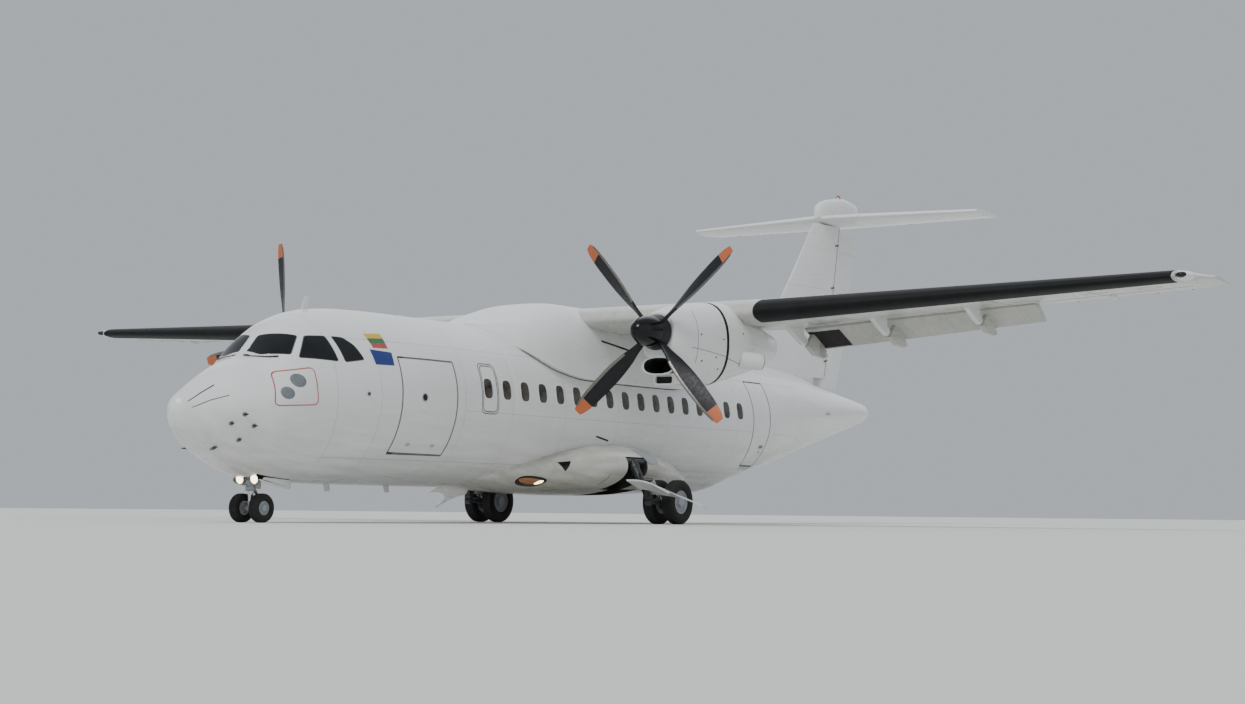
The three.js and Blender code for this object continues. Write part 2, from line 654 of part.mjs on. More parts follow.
for (const [name, side] of SIDES) {
  const y = side * ENGINE_Y;
  const shaftRoom = SHAFT_RADIUS + MOVING_GAP;
  const shaftBore = rod([6900, y, THRUST_Z], [ENGINE_BLOCK.fore + 10, y, THRUST_Z], shaftRoom);
  const [pipeFrom, boreFrom, pipeTo, boreTo] = EXHAUST.line.map(([aft, out, z]) => [aft, y + side * out, z]);
  const stub = rod(pipeFrom, pipeTo, EXHAUST.radius, EXHAUST.radius, 16);
  const stubBore = rod(boreFrom, boreTo, EXHAUST.bore, EXHAUST.bore, 16);
  const shell = nacelleLoft(side, NACELLE_SECTIONS, 24, 0.9);
  const body = joined(shell, nacelleLoft(side, SCOOP_SECTIONS, 20, 0.8), stub)
    .subtract(stubBore)
    .subtract(nacelleLoft(side, MOUTH_SECTIONS, 20, 0.8))
    .subtract(enginePlace(side, TOUCH_GAP))
    .subtract(shaftBore)
    .subtract(wingRoom);
  const front = block(6000, SEAM_AFT - TOUCH_GAP / 2, y - 900, y + 900, 2000, 4500);
  const rear = block(SEAM_AFT + TOUCH_GAP / 2, 12000, y - 900, y + 900, 2000, 4500);
  add(`nacelle_front_${name}`, biggest(body.intersect(front).decompose()), 'white_paint');
  add(`nacelle_rear_${name}`, biggest(body.intersect(rear).decompose()), 'white_paint');
  add(`engine_${name}`, enginePlace(side, 0), 'engine_iron');
}

// Propellers: a hub behind the spinner, four wide blades and the shaft
const PROP_RADIUS = 1980;
const PROP_AFT = 6900;
const HUB_HALF = 105;
const BLADE_ANGLES = { port: 41, starboard: 5 };
// distance from the axis, chord, thickness, twist in degrees from the disc
const BLADE_SECTIONS = [
  [200, 110, 100, 60],
  [420, 150, 70, 52],
  [700, 250, 46, 42],
  [1100, 300, 30, 31],
  [1550, 280, 20, 24],
  [1850, 220, 14, 20],
  [PROP_RADIUS, 130, 8, 18],
];
const BLADE_RING = [
  [0.5, 0], [0.3, 0.42], [0, 0.5], [-0.3, 0.36], [-0.5, 0], [-0.3, -0.36], [0, -0.5], [0.3, -0.42],
];

// A blade along +Z from the hub's centre at the origin, its leading side turned by the twist
function blade(turn) {
  const rings = BLADE_SECTIONS.map(([radius, chord, thick, twist]) => {
    const angle = THREE.MathUtils.degToRad(twist);
    const [s, c] = [Math.sin(angle), Math.cos(angle)];
    return BLADE_RING.map(([a, b]) => {
      const [along, out] = [a * chord, b * thick];
      return [along * s + out * c, along * c - out * s, radius];
    });
  });
  return loft(rings).rotate([turn, 0, 0]);
}

// A profile of [radius, aft of the hub's centre] turned about the X axis
function turnedAlong(profile, sides) {
  const lathe = new THREE.LatheGeometry(profile.map(([r, aft]) => new THREE.Vector2(r, -aft)), sides);
  lathe.rotateZ(-Math.PI / 2);
  return solidOf(lathe);
}

const hub = turnedAlong([
  [0, -HUB_HALF], [262, -HUB_HALF], [300, HUB_HALF], [SHAFT_RADIUS, HUB_HALF], [SHAFT_RADIUS, 600], [0, 600],
], 24);
const spinner = turnedAlong([
  [0, -570], [45, -556], [105, -480], [165, -370], [215, -250], [250, -150], [261, -HUB_HALF - TOUCH_GAP],
  [0, -HUB_HALF - TOUCH_GAP],
], 24);
const bladed = joined(hub, blade(0), blade(90), blade(180), blade(270));

for (const [name, side] of SIDES) {
  const mounting = new THREE.Group();
  mounting.position.set(station(PROP_AFT), side * ENGINE_Y, THRUST_Z);
  mounting.rotation.x = THREE.MathUtils.degToRad(BLADE_ANGLES[name] - 90);
  aircraft.add(mounting);
  add(`propeller_${name}`, bladed, 'blade_grey', mounting);
  add(`spinner_${name}`, spinner, 'spinner_black', mounting);
}

// Fin with its long dorsal fillet, rudder, and the cap over the tailplane
// height, aft of the leading edge
const FIN_LEVELS = [
  [3300, 14000],
  [3500, 14580],
  [3730, 15710],
  [3970, 16880],
  [4240, 17550],
  [4560, 18060],
  [4890, 18470],
  [6870, 20120],
];
const FIN_HALF_THICKNESS = 165;
const FIN_TIP_HALF_THICKNESS = 105;
const DORSAL_HALF_THICKNESS = 45;
const FIN_LEAD_SLOPE = (20120 - 18470) / (6870 - 4890);
const FIN_STEPS = [0, 0.02, 0.1, 0.25, 0.4, 0.55, 0.68, 0.8, 0.9, 1];
const RUDDER_LEAN = 0.2381;
const FIN_LIP = Math.PI / 3;
const RUDDER_CLEAR = 12;

const finHalf = (z) => FIN_HALF_THICKNESS
  + ((FIN_TIP_HALF_THICKNESS - FIN_HALF_THICKNESS) * (z - 3300)) / (6870 - 3300);
const rudderHinge = (z) => 20440 + (z - 3300) * RUDDER_LEAN;

// A level slice of a round bar that leans with the hinge, from one side of its nose to the other
function leaningArc(z, radius, reach, steps) {
  return Array.from({ length: steps + 1 }, (_, i) => {
    const angle = reach * (1 - (2 * i) / steps);
    const fore = radius * Math.cos(angle) * Math.hypot(1, RUDDER_LEAN);
    return [station(rudderHinge(z)) + fore, radius * Math.sin(angle), z];
  });
}

function finRing([z, lead]) {
  const hinge = rudderHinge(z);
  const trueLead = 18470 - (4890 - z) * FIN_LEAD_SLOPE;
  const cove = leaningArc(z, finHalf(z), FIN_LIP, 6);
  const end = LENGTH / 2 - cove[0][0];
  const half = (aft) => {
    const along = Math.max(0, (aft - trueLead) / (hinge - trueLead));
    const body = finHalf(z) * Math.sin(Math.min(1, along * 1.25) * Math.PI * 0.5) ** 0.7;
    const fillet = DORSAL_HALF_THICKNESS * Math.min(1, (aft - lead) / 400) ** 0.5;
    return Math.max(body, fillet, 8);
  };
  const steps = FIN_STEPS.map((u) => lead + (end - lead) * u);
  const left = steps.map((aft) => [station(aft), half(aft), z]);
  const right = [...steps].reverse().map((aft) => [station(aft), -half(aft), z]);
  return [...left, ...cove, ...right];
}

const finBody = loft(FIN_LEVELS.map(finRing)).subtract(fuselageRoom);
add('fin', biggest(finBody.decompose()), 'white_paint');

// The rudder: height, aft of its trailing edge
const RUDDER_LEVELS = [
  [3080, 21200],
  [3690, 21455],
  [5400, 21935],
  [6720, 22330],
];

function rudderRing([z, trail]) {
  const nose = leaningArc(z, finHalf(z) - RUDDER_CLEAR, Math.PI / 2, 8);
  return [[station(trail), 8, z], ...nose, [station(trail), -8, z]];
}

const rudderBody = loft(RUDDER_LEVELS.map(rudderRing));
const rudderFoot = fuselageBody(MOVING_GAP + 4);
add('rudder', biggest(rudderBody.subtract(rudderFoot).decompose()), 'white_paint');

// Tailplane on top of the fin, with its two elevators
const TAIL_HALF_SPAN = 3655;
const TAIL_Z = 7000;
const ELEVATOR_HINGE = 0.66;
const ELEVATOR = [430, 3560];

function tailSection(y) {
  const t = Math.abs(y) / TAIL_HALF_SPAN;
  return { lead: [20330 + 620 * t, y, TAIL_Z], chord: 1960 - 740 * t, ratio: 0.12 - 0.01 * t, camber: 0 };
}

const tailBody = (grow) => (
  loft([-TAIL_HALF_SPAN, 0, TAIL_HALF_SPAN].map((y) => aerofoilRing(tailSection(y), grow))));
const elevatorBays = SIDES.map(([, side]) => loft([
  hingedBayRing(tailSection(side * (ELEVATOR[0] - MOVING_GAP)), ELEVATOR_HINGE),
  hingedBayRing(tailSection(side * (ELEVATOR[1] + MOVING_GAP)), ELEVATOR_HINGE),
]));
add('tailplane', tailBody(0).subtract(joined(...elevatorBays)), 'white_paint');
for (const [name, side] of SIDES) {
  const rings = ELEVATOR.map((y) => hingedRing(tailSection(side * y), ELEVATOR_HINGE));
  add(`elevator_${name}`, loft(rings), 'white_paint');
}

// The fin cap: aft, top, half width
const CAP_SECTIONS = [
  [20240, 7200, 40],
  [20350, 7330, 100],
  [20600, 7440, 150],
  [21000, 7525, 170],
  [21500, 7596, 150],
  [22000, 7560, 95],
  [22290, 7500, 30],
];
const capBody = loft(CAP_SECTIONS.map(([aft, top, half]) => (
  oval(station(aft), top, TAIL_Z - 40, half, TAIL_Z + 120, 0, 16, 0.8))));
const aboveTail = block(19000, 23000, -500, 500, TAIL_Z, 8000);
const cap = capBody.intersect(aboveTail).subtract(tailBody(TOUCH_GAP));
add('fin_cap', biggest(cap.decompose()), 'white_paint');

// Wheels: tyres and hubs, turned about the axle
const TYRE_SIDES = 24;

// Half of a tyre's outline: the share of its height above the rim, and of its half width off its middle
const TYRE_OUTLINE = [[0, 0.72], [0.45, 1], [0.8, 0.92], [1, 0.5]];

function tyreProfile(flatRadius, rim, width) {
  const tall = flatRadius / Math.cos(Math.PI / TYRE_SIDES) - rim;
  const half = TYRE_OUTLINE.map(([up, out]) => [rim + up * tall, (out * width) / 2]);
  const other = half.map(([radius, along]) => [radius, -along]);
  return [...other, ...half.reverse(), other[0]];
}

// A dished hub's outline from its inner face to its cap: shares of the rim's radius and the hub's half width
const HUB_OUTLINE = [
  [0, -0.5], [0.72, -0.5], [0.8, -1], [1, -1], [1, 1],
  [0.86, 1], [0.66, 0.45], [0.42, 0.55], [0.34, 1.15], [0, 1.15],
];
const HUB_SHARE_OF_TYRE = 0.72;

// Two dished hubs on one axle, each wheel's middle at plus or minus the spacing
function hubPair(rim, width, spacing, axleRadius) {
  const half = (HUB_SHARE_OF_TYRE * width) / 2;
  const hubs = [1, -1].map((side) => turned(
    HUB_OUTLINE.map(([out, along]) => [Math.min(out * rim, rim - TOUCH_GAP), side * along * half]),
    TYRE_SIDES,
  ).translate([0, side * spacing, 0]));
  const axle = turned([[0, -spacing], [axleRadius, -spacing], [axleRadius, spacing], [0, spacing]], 16);
  return joined(axle, ...hubs);
}

const MAIN_WHEEL = { radius: 406.5, rim: 215, width: 224, spacing: 210, axle: 45 };
const NOSE_WHEEL = { radius: 225, rim: 110, width: 165, spacing: 205, axle: 28 };

function addWheels(name, wheel, place) {
  const group = new THREE.Group();
  group.position.set(...place);
  aircraft.add(group);
  add(`${name}_hubs`, hubPair(wheel.rim, wheel.width, wheel.spacing, wheel.axle), 'gear_paint', group);
  const profile = tyreProfile(wheel.radius, wheel.rim, wheel.width);
  for (const [label, side] of [['a', 1], ['b', -1]]) {
    const tyre = add(`${name}_tyre_${label}`, turned(profile, TYRE_SIDES), 'tyre', group);
    tyre.position.y = side * wheel.spacing;
  }
}

// Nose gear: the leg in its bay, the steered fork with the axle, two doors and two lamps
const NOSE_AXLE_AFT = 1765;
const NOSE_LEG_AFT = 1740;
const NOSE_AXLE_Z = NOSE_WHEEL.radius;
const STEER_TOP = 560;
const NOSE_LEG = { radius: 62, topRadius: 74 };
const BAY_REACH = NOSE_BAY.halfWidth - TOUCH_GAP;
const TRUNNION = { half: 40, bottom: 1080, top: 1160 };
const DRAG_BRACE = { foot: 900, aft: 2230, z: 1180, radius: 32 };
const BRACE_BAR = { aft: 2200, z: 1170, radius: 38 };
const LAMP_BAR = { aft: NOSE_LEG_AFT - 20, half: 150, z: 680, radius: 22 };
const noseLeg = joined(
  rod(
    [NOSE_LEG_AFT, 0, STEER_TOP + MOVING_GAP],
    [NOSE_LEG_AFT, 0, NOSE_BAY.roof - TOUCH_GAP],
    NOSE_LEG.radius,
    NOSE_LEG.topRadius,
  ),
  block(
    NOSE_LEG_AFT - TRUNNION.half,
    NOSE_LEG_AFT + TRUNNION.half,
    -BAY_REACH,
    BAY_REACH,
    TRUNNION.bottom,
    TRUNNION.top,
  ),
  rod([NOSE_LEG_AFT, 0, DRAG_BRACE.foot], [DRAG_BRACE.aft, 0, DRAG_BRACE.z], DRAG_BRACE.radius),
  rod([BRACE_BAR.aft, -BAY_REACH, BRACE_BAR.z], [BRACE_BAR.aft, BAY_REACH, BRACE_BAR.z], BRACE_BAR.radius),
  rod([LAMP_BAR.aft, -LAMP_BAR.half, LAMP_BAR.z], [LAMP_BAR.aft, LAMP_BAR.half, LAMP_BAR.z], LAMP_BAR.radius),
);
add('nose_leg', noseLeg, 'gear_paint');

const FORK_PISTON = { radius: 70, footRadius: 44, foot: NOSE_AXLE_Z + 20 };
const STEER_COLLAR = { radius: 82, depth: 70 };
const AXLE_SLEEVE = { radius: 58, half: 75 };
const FORK_HEEL = { fore: NOSE_LEG_AFT - 30, half: 40, bottom: NOSE_AXLE_Z - 20, top: NOSE_AXLE_Z + 90 };
// The two torque links meet at an elbow behind the leg: aft and height of their three joints
const TORQUE_LINKS = { top: [1800, 530], elbow: [1910, 405], foot: [1780, 265], radius: 20 };
const AXLE_PLAY = 3;
const acrossAt = (aft, half, z, radius) => rod([aft, -half, z], [aft, half, z], radius, radius, 16);
const link = ([aft0, z0], [aft1, z1]) => rod([aft0, 0, z0], [aft1, 0, z1], TORQUE_LINKS.radius);
const onLeg = (z) => [NOSE_LEG_AFT, 0, z];
const noseFork = joined(
  rod(onLeg(STEER_TOP), onLeg(FORK_PISTON.foot), FORK_PISTON.radius, FORK_PISTON.footRadius),
  rod(onLeg(STEER_TOP), onLeg(STEER_TOP - STEER_COLLAR.depth), STEER_COLLAR.radius),
  acrossAt(NOSE_AXLE_AFT, AXLE_SLEEVE.half, NOSE_AXLE_Z, AXLE_SLEEVE.radius),
  block(FORK_HEEL.fore, NOSE_AXLE_AFT, -FORK_HEEL.half, FORK_HEEL.half, FORK_HEEL.bottom, FORK_HEEL.top),
  link(TORQUE_LINKS.top, TORQUE_LINKS.elbow),
  link(TORQUE_LINKS.elbow, TORQUE_LINKS.foot),
).subtract(acrossAt(NOSE_AXLE_AFT, 200, NOSE_AXLE_Z, NOSE_WHEEL.axle + AXLE_PLAY));
add('nose_fork', noseFork, 'gear_paint');
addWheels('nose_wheel', NOSE_WHEEL, [station(NOSE_AXLE_AFT), 0, NOSE_AXLE_Z]);

const LAMP = { fore: [NOSE_LEG_AFT - 95, 668], back: [NOSE_LEG_AFT - 42.5, 676], radius: 78, backRadius: 47 };
const NOSE_DOOR = [[1670, 600], [2300, 500], [2300, 900], [1670, 900]];
const NOSE_DOOR_SPAN = [301, 323];
for (const [name, side] of SIDES) {
  const lampAt = ([aft, z]) => [aft, side * LAMP_BAR.half, z];
  const lamp = rod(lampAt(LAMP.fore), lampAt(LAMP.back), LAMP.radius, LAMP.backRadius, 16);
  add(`taxi_lamp_${name}`, lamp, 'lamp_glass');
  const span = side > 0 ? NOSE_DOOR_SPAN : NOSE_DOOR_SPAN.map((y) => -y).reverse();
  const hung = plateAcross(NOSE_DOOR, ...span).subtract(fuselageRoom);
  add(`nose_gear_door_${name}`, biggest(hung.decompose()), 'white_paint');
}

// Main gear: a leg out of each pod, a trailing arm with the axle, a shock strut, and the door on the leg
const MAIN_AXLE_AFT = 10620;
const TRACK_HALF = 2050;
const MAIN_AXLE_Z = MAIN_WHEEL.radius;
const KNEE = [9964, TRACK_HALF, 430];
const LEG_TOP = [10020, 1640, 1150];
const STRUT_TOP = [10060, TRACK_HALF, 800];
const STRUT_FOOT = [10340, TRACK_HALF, 440];
// The door that hangs on each leg: a bulged sheet between two edges that run outboard, with a round notch
const LEG_DOOR = {
  foreEdge: [[9529, 1846, 803], [9550, 2720, 576]],
  rearEdge: [[10090, 1950, 570], [10361, 3145, 283]],
  bulge: 75,
  thick: 26,
  steps: 6,
  notch: { centre: [9809, 3064, 430], axis: [216, 241, 948], radius: 436 },
};

const LEG_RADIUS = { top: 80, foot: 62, trunnion: 55 };
const LEG_FOOT_RISE = 70;
const KNEE_PIN = { half: 70, rise: 60, radius: 48 };
const SIDE_STAY = { foot: [9984, 2010, 590], top: [10330, 1300, 1000], radius: 30 };
const STRUT_HORN = { root: [9991, 1851, 800], past: 20, radius: 38 };
const STRUT = { cylinder: 52, piston: 34, share: 0.6 };

// The leg's tube, its trunnion in the slot, the knee's pin, the side stay and the horn for the strut's top
function mainLeg(side, grow) {
  const at = ([aft, y, z]) => [aft, side * y, z];
  const [, topY, topZ] = LEG_TOP;
  const [kneeAft, kneeY, kneeZ] = KNEE;
  const [hornAft, hornY, hornZ] = STRUT_TOP;
  const foot = [kneeAft, kneeY, kneeZ + LEG_FOOT_RISE];
  const trunnion = (aft) => [aft, topY, topZ];
  const pin = (out) => [kneeAft, kneeY + out * (KNEE_PIN.half + grow), kneeZ + KNEE_PIN.rise];
  const slotEnds = [LEG_SLOT.fore + TOUCH_GAP, LEG_SLOT.rear - TOUCH_GAP];
  return joined(
    rod(at(LEG_TOP), at(foot), LEG_RADIUS.top + grow, LEG_RADIUS.foot + grow),
    rod(...slotEnds.map((aft) => at(trunnion(aft))), LEG_RADIUS.trunnion),
    rod(at(pin(-1)), at(pin(1)), KNEE_PIN.radius + grow),
    rod(at(SIDE_STAY.foot), at(SIDE_STAY.top), SIDE_STAY.radius),
    rod(at(STRUT_HORN.root), at([hornAft, hornY + STRUT_HORN.past + grow, hornZ]), STRUT_HORN.radius + grow),
  );
}

function shockStrut(side) {
  const at = ([aft, y, z]) => [aft, side * y, z];
  const middle = STRUT_TOP.map((value, axis) => value + (STRUT_FOOT[axis] - value) * STRUT.share);
  const cylinder = rod(at(STRUT_TOP), at(middle), STRUT.cylinder);
  const piston = rod(at(middle), at(STRUT_FOOT), STRUT.piston);
  const room = joined(mainLeg(side, TOUCH_GAP), armTube(side, TOUCH_GAP));
  return biggest(joined(cylinder, piston).subtract(room).decompose());
}

function legDoor(side) {
  const { foreEdge, rearEdge, bulge, thick, steps, notch } = LEG_DOOR;
  const bent = ([inner, outer], step, drop) => {
    const [aft, y, z] = inner.map((value, axis) => value + ((outer[axis] - value) * step) / steps);
    return [station(aft), side * y, z - drop + bulge * Math.sin((Math.PI * step) / steps)];
  };
  const rings = Array.from({ length: steps + 1 }, (_, step) => [
    bent(foreEdge, step, 0),
    bent(rearEdge, step, 0),
    bent(rearEdge, step, thick),
    bent(foreEdge, step, thick),
  ]);
  const ends = [-1, 1].map((way) => {
    const [aft, y, z] = notch.centre.map((value, axis) => value + way * notch.axis[axis]);
    return [aft, side * y, z];
  });
  const round = rod(...ends, notch.radius, notch.radius, 32);
  return loft(rings).subtract(round).subtract(mainLeg(side, TOUCH_GAP));
}

const ARM = { kneeRadius: 56, axleRadius: 62, drop: 12 };
const ARM_KNUCKLE = { half: 60, drop: 40, radius: 50 };
const ARM_SLEEVE = { half: 80, radius: 78, play: 4 };

function armTube(side, grow) {
  const [kneeAft, kneeY, kneeZ] = KNEE;
  return rod(
    [kneeAft, side * kneeY, kneeZ - ARM.drop],
    [MAIN_AXLE_AFT, side * TRACK_HALF, MAIN_AXLE_Z],
    ARM.kneeRadius + grow,
    ARM.axleRadius + grow,
  );
}

function mainArm(side) {
  const [kneeAft, kneeY, kneeZ] = KNEE;
  const pinAt = (out) => [kneeAft, side * (kneeY + out * ARM_KNUCKLE.half), kneeZ - ARM_KNUCKLE.drop];
  const onAxle = (out) => [MAIN_AXLE_AFT, side * (TRACK_HALF + out), MAIN_AXLE_Z];
  const bore = MAIN_WHEEL.axle + ARM_SLEEVE.play;
  return joined(
    armTube(side, 0),
    rod(pinAt(-1), pinAt(1), ARM_KNUCKLE.radius),
    rod(onAxle(-ARM_SLEEVE.half), onAxle(ARM_SLEEVE.half), ARM_SLEEVE.radius, ARM_SLEEVE.radius, 16),
  ).subtract(rod(onAxle(-200), onAxle(200), bore, bore, 16)).subtract(mainLeg(side, TOUCH_GAP));
}

for (const [name, side] of SIDES) {
  add(`main_leg_${name}`, mainLeg(side, 0), 'gear_paint');
  add(`main_arm_${name}`, biggest(mainArm(side).decompose()), 'gear_paint');
  add(`shock_strut_${name}`, shockStrut(side), 'bare_metal');
  add(`main_gear_door_${name}`, biggest(legDoor(side).decompose()), 'white_paint');
  addWheels(`main_wheel_${name}`, MAIN_WHEEL, [station(MAIN_AXLE_AFT), side * TRACK_HALF, MAIN_AXLE_Z]);
}

export default aircraft;
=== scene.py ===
"""A twin-turboprop regional airliner, parked on its gear: the smooth skins, glass, rubber and paint."""

import math

import bmesh
import bpy
import numpy as np
from mathutils import Matrix, Vector


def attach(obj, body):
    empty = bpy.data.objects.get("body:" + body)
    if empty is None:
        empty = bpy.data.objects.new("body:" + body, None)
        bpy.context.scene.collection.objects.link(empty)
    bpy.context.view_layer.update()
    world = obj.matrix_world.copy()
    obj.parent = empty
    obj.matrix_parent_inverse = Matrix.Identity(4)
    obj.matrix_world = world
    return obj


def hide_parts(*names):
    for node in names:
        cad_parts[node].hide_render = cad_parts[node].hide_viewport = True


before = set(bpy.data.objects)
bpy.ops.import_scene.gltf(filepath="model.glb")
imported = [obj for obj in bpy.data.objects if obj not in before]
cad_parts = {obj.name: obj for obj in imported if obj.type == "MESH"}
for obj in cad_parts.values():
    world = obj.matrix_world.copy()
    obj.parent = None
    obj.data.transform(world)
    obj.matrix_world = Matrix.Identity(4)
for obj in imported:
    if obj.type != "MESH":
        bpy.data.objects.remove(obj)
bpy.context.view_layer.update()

# Driving sizes in metres: x runs to the nose, y to port, z up; "aft" is a distance behind the nose's tip
LENGTH = 22.67
HALF_SPAN = 12.285
CABIN_RADIUS = 1.432
SIDES = (("port", 1), ("starboard", -1))


def station(aft):
    return LENGTH / 2 - aft


def xyz(x, y, z):
    """Points from their three places, each one spread over the others' shape."""
    return np.stack(np.broadcast_arrays(x, y, z), -1)


def full_turn(count):
    """Angles at equal steps once round."""
    return np.linspace(0, 2 * np.pi, count, endpoint=False)


def rounded_power(angle, power):
    """The angle's cosine and sine, each with its size raised to a power: below one they fill an oval's corners."""
    c, s = np.cos(angle), np.sin(angle)
    return np.sign(c) * abs(c) ** power, np.sign(s) * abs(s) ** power


# Camera: on the floor, off the port side of the nose, as low as the photograph's view can be on a parked aircraft
VIEW_BEARING = 33.2
VIEW_DISTANCE = 40.0
VIEW_HEIGHT = 0.22
VIEW_AIM = (0.3, 0.75, 3.25)
VIEW_ROLL = 0.55
VIEW_WIDTH = 23.6


def make_camera():
    data = bpy.data.cameras.new("viewer")
    data.sensor_width = 36
    data.lens = data.sensor_width * VIEW_DISTANCE / VIEW_WIDTH
    data.clip_end = 500
    camera = bpy.data.objects.new("viewer", data)
    bearing = math.radians(VIEW_BEARING)
    aim = Vector(VIEW_AIM)
    place = aim + Vector((math.cos(bearing), math.sin(bearing), 0)) * VIEW_DISTANCE
    place.z = VIEW_HEIGHT
    turn = (aim - place).to_track_quat("-Z", "Y").to_matrix().to_4x4()
    camera.matrix_world = Matrix.Translation(place) @ turn @ Matrix.Rotation(math.radians(VIEW_ROLL), 4, "Z")
    bpy.context.collection.objects.link(camera)
    bpy.context.scene.camera = camera


make_camera()


# Surfaces: each is worked out as a numpy grid of points and put into a mesh whole


def smooth(table, at):
    """Values between a table's rows: cubic pieces whose slopes are the harmonic means of the neighbouring
    chords' slopes, and nought where those change sign, so that a curve never overshoots a row."""
    rows = np.array(table, float)
    x, values = rows[:, 0], rows[:, 1:]
    step = np.diff(x)[:, None]
    slope = np.diff(values, axis=0) / step
    tangent = np.empty_like(values)
    product = slope[:-1] * slope[1:]
    total = slope[:-1] + slope[1:]
    tangent[1:-1] = np.where(product > 0, 2 * product / np.where(total == 0, 1, total), 0)
    tangent[0], tangent[-1] = slope[0], slope[-1]
    at = np.clip(np.asarray(at, float), x[0], x[-1])
    i = np.clip(np.searchsorted(x, at, side="right") - 1, 0, len(x) - 2)
    h = (x[i + 1] - x[i])[..., None]
    t = (at - x[i])[..., None] / h
    a, b = values[i], values[i + 1]
    return (
        a * (1 + 2 * t) * (1 - t) ** 2
        + b * t * t * (3 - 2 * t)
        + h * t * (1 - t) * ((1 - t) * tangent[i] - t * tangent[i + 1])
    )


def mesh_object(name, points, faces, sharp=35):
    mesh = bpy.data.meshes.new(name)
    mesh.from_pydata(np.asarray(points, float).tolist(), [], faces)
    mesh.update()
    made = bpy.data.objects.new(name, mesh)
    bpy.context.collection.objects.link(made)
    soften(made, sharp)
    return made


def soften(piece, sharp=35):
    mesh = piece.data
    mesh.polygons.foreach_set("use_smooth", np.ones(len(mesh.polygons), bool))
    mesh.set_sharp_from_angle(angle=math.radians(sharp))


def grid_faces(rows, columns, close_columns, start=0):
    """Quads of a grid: row i, column j joins the next row and column, the last column joins the first if closed."""
    i, j = np.meshgrid(np.arange(rows - 1), np.arange(columns if close_columns else columns - 1), indexing="ij")
    k = (j + 1) % columns
    a, b = i * columns + j, i * columns + k
    quads = np.stack([a, b, b + columns, a + columns], -1).reshape(-1, 4) + start
    return quads.tolist()


def loft(name, rings, sharp=35):
    """A closed skin over rings of equal length, with a flat cap on the first and the last ring."""
    rings = np.asarray(rings, float)
    count, around = rings.shape[:2]
    faces = grid_faces(count, around, True)
    faces.append(list(range(around))[::-1])
    faces.append(list(range((count - 1) * around, count * around)))
    made = mesh_object(name, rings.reshape(-1, 3), faces, sharp)
    return face_outwards(made)


def closed_rings(name, rings, sharp=40):
    """A ring-shaped solid: a grid of rings, joined both ways round."""
    rings = np.asarray(rings, float)
    count, around = rings.shape[:2]
    faces = np.array(grid_faces(count + 1, around, True)) % (count * around)
    return face_outwards(mesh_object(name, rings.reshape(-1, 3), faces.tolist(), sharp))


def face_outwards(piece):
    """Turns a closed skin's faces round where its volume, summed as the caps' cone volumes, is negative."""
    mesh = piece.data
    mesh.calc_loop_triangles()
    points = np.empty(len(mesh.vertices) * 3)
    mesh.vertices.foreach_get("co", points)
    points = points.reshape(-1, 3)
    corners = np.empty(len(mesh.loop_triangles) * 3, int)
    mesh.loop_triangles.foreach_get("vertices", corners)
    a, b, c = points[corners.reshape(-1, 3)].transpose(1, 0, 2)
    if np.einsum("ij,ij->i", a, np.cross(b, c)).sum() < 0:
        mesh.flip_normals()
    return piece


def sheet_solid(name, outer, inner, sharp=35):
    """A plate between two grids of equal shape: the outer face, the inner face turned round, and a rim."""
    outer, inner = np.asarray(outer, float), np.asarray(inner, float)
    rows, columns = outer.shape[:2]
    size = rows * columns
    faces = grid_faces(rows, columns, False)
    faces += [quad[::-1] for quad in grid_faces(rows, columns, False, size)]
    index = np.arange(size).reshape(rows, columns)
    rim = np.concatenate([index[0, :-1], index[:-1, -1], index[-1, :0:-1], index[:0:-1, 0]])
    after = np.roll(rim, -1)
    faces += np.stack([after, rim, rim + size, after + size], -1).tolist()
    points = np.concatenate([outer.reshape(-1, 3), inner.reshape(-1, 3)])
    return face_outwards(mesh_object(name, points, faces, sharp))


def block(name, aft0, aft1, y0, y1, z0, z1):
    across = np.array([[y0, z0], [y1, z0], [y1, z1], [y0, z1]])
    rings = [[[station(aft), y, z] for y, z in across] for aft in (aft0, aft1)]
    return loft(name, rings)


def tube(name, path, radius, sides=14, sharp=50):
    """A round bar along points given as aft, y, z: at each, a circle square to the mean of the steps around it,
    whose radius is one value or one for each point."""
    points = np.array(path, float)
    points[:, 0] = station(points[:, 0])
    steps = np.diff(points, axis=0)
    along = np.vstack([steps[:1], (steps[:-1] + steps[1:]) / 2, steps[-1:]])
    along /= np.linalg.norm(along, axis=1, keepdims=True)
    side = np.cross(along, np.where(abs(along[:, 2:]) > 0.9, (0, 1, 0), (0, 0, 1)))
    side /= np.linalg.norm(side, axis=1, keepdims=True)
    up = np.cross(side, along)
    radii = np.broadcast_to(np.asarray(radius, float), len(points))
    angle = full_turn(sides)
    ring = np.cos(angle)[None, :, None] * side[:, None] + np.sin(angle)[None, :, None] * up[:, None]
    return loft(name, points[:, None] + ring * radii[:, None, None], sharp)


def turned(name, profile, centre, axis=(0, 1, 0), sides=48, sharp=40):
    """A closed profile of radius and distance along the axis, turned once round it."""
    profile = np.array(profile, float)
    along = np.array(axis, float)
    side = np.cross(along, (0, 0, 1)) if abs(along[2]) < 0.9 else np.array([1.0, 0, 0])
    side /= np.linalg.norm(side)
    up = np.cross(along, side)
    angle = full_turn(sides)
    spoke = np.cos(angle)[:, None] * side + np.sin(angle)[:, None] * up
    points = profile[:, 0, None, None] * spoke + profile[:, 1, None, None] * along + np.array(centre)
    faces = grid_faces(len(profile), sides, True)
    if profile[0, 0] > 1e-9 and profile[-1, 0] > 1e-9 and not np.allclose(profile[0], profile[-1]):
        faces += [list(range(sides))[::-1], list(range((len(profile) - 1) * sides, len(profile) * sides))]
    made = mesh_object(name, points.reshape(-1, 3), faces, sharp)
    return face_outwards(merged(made, sharp))


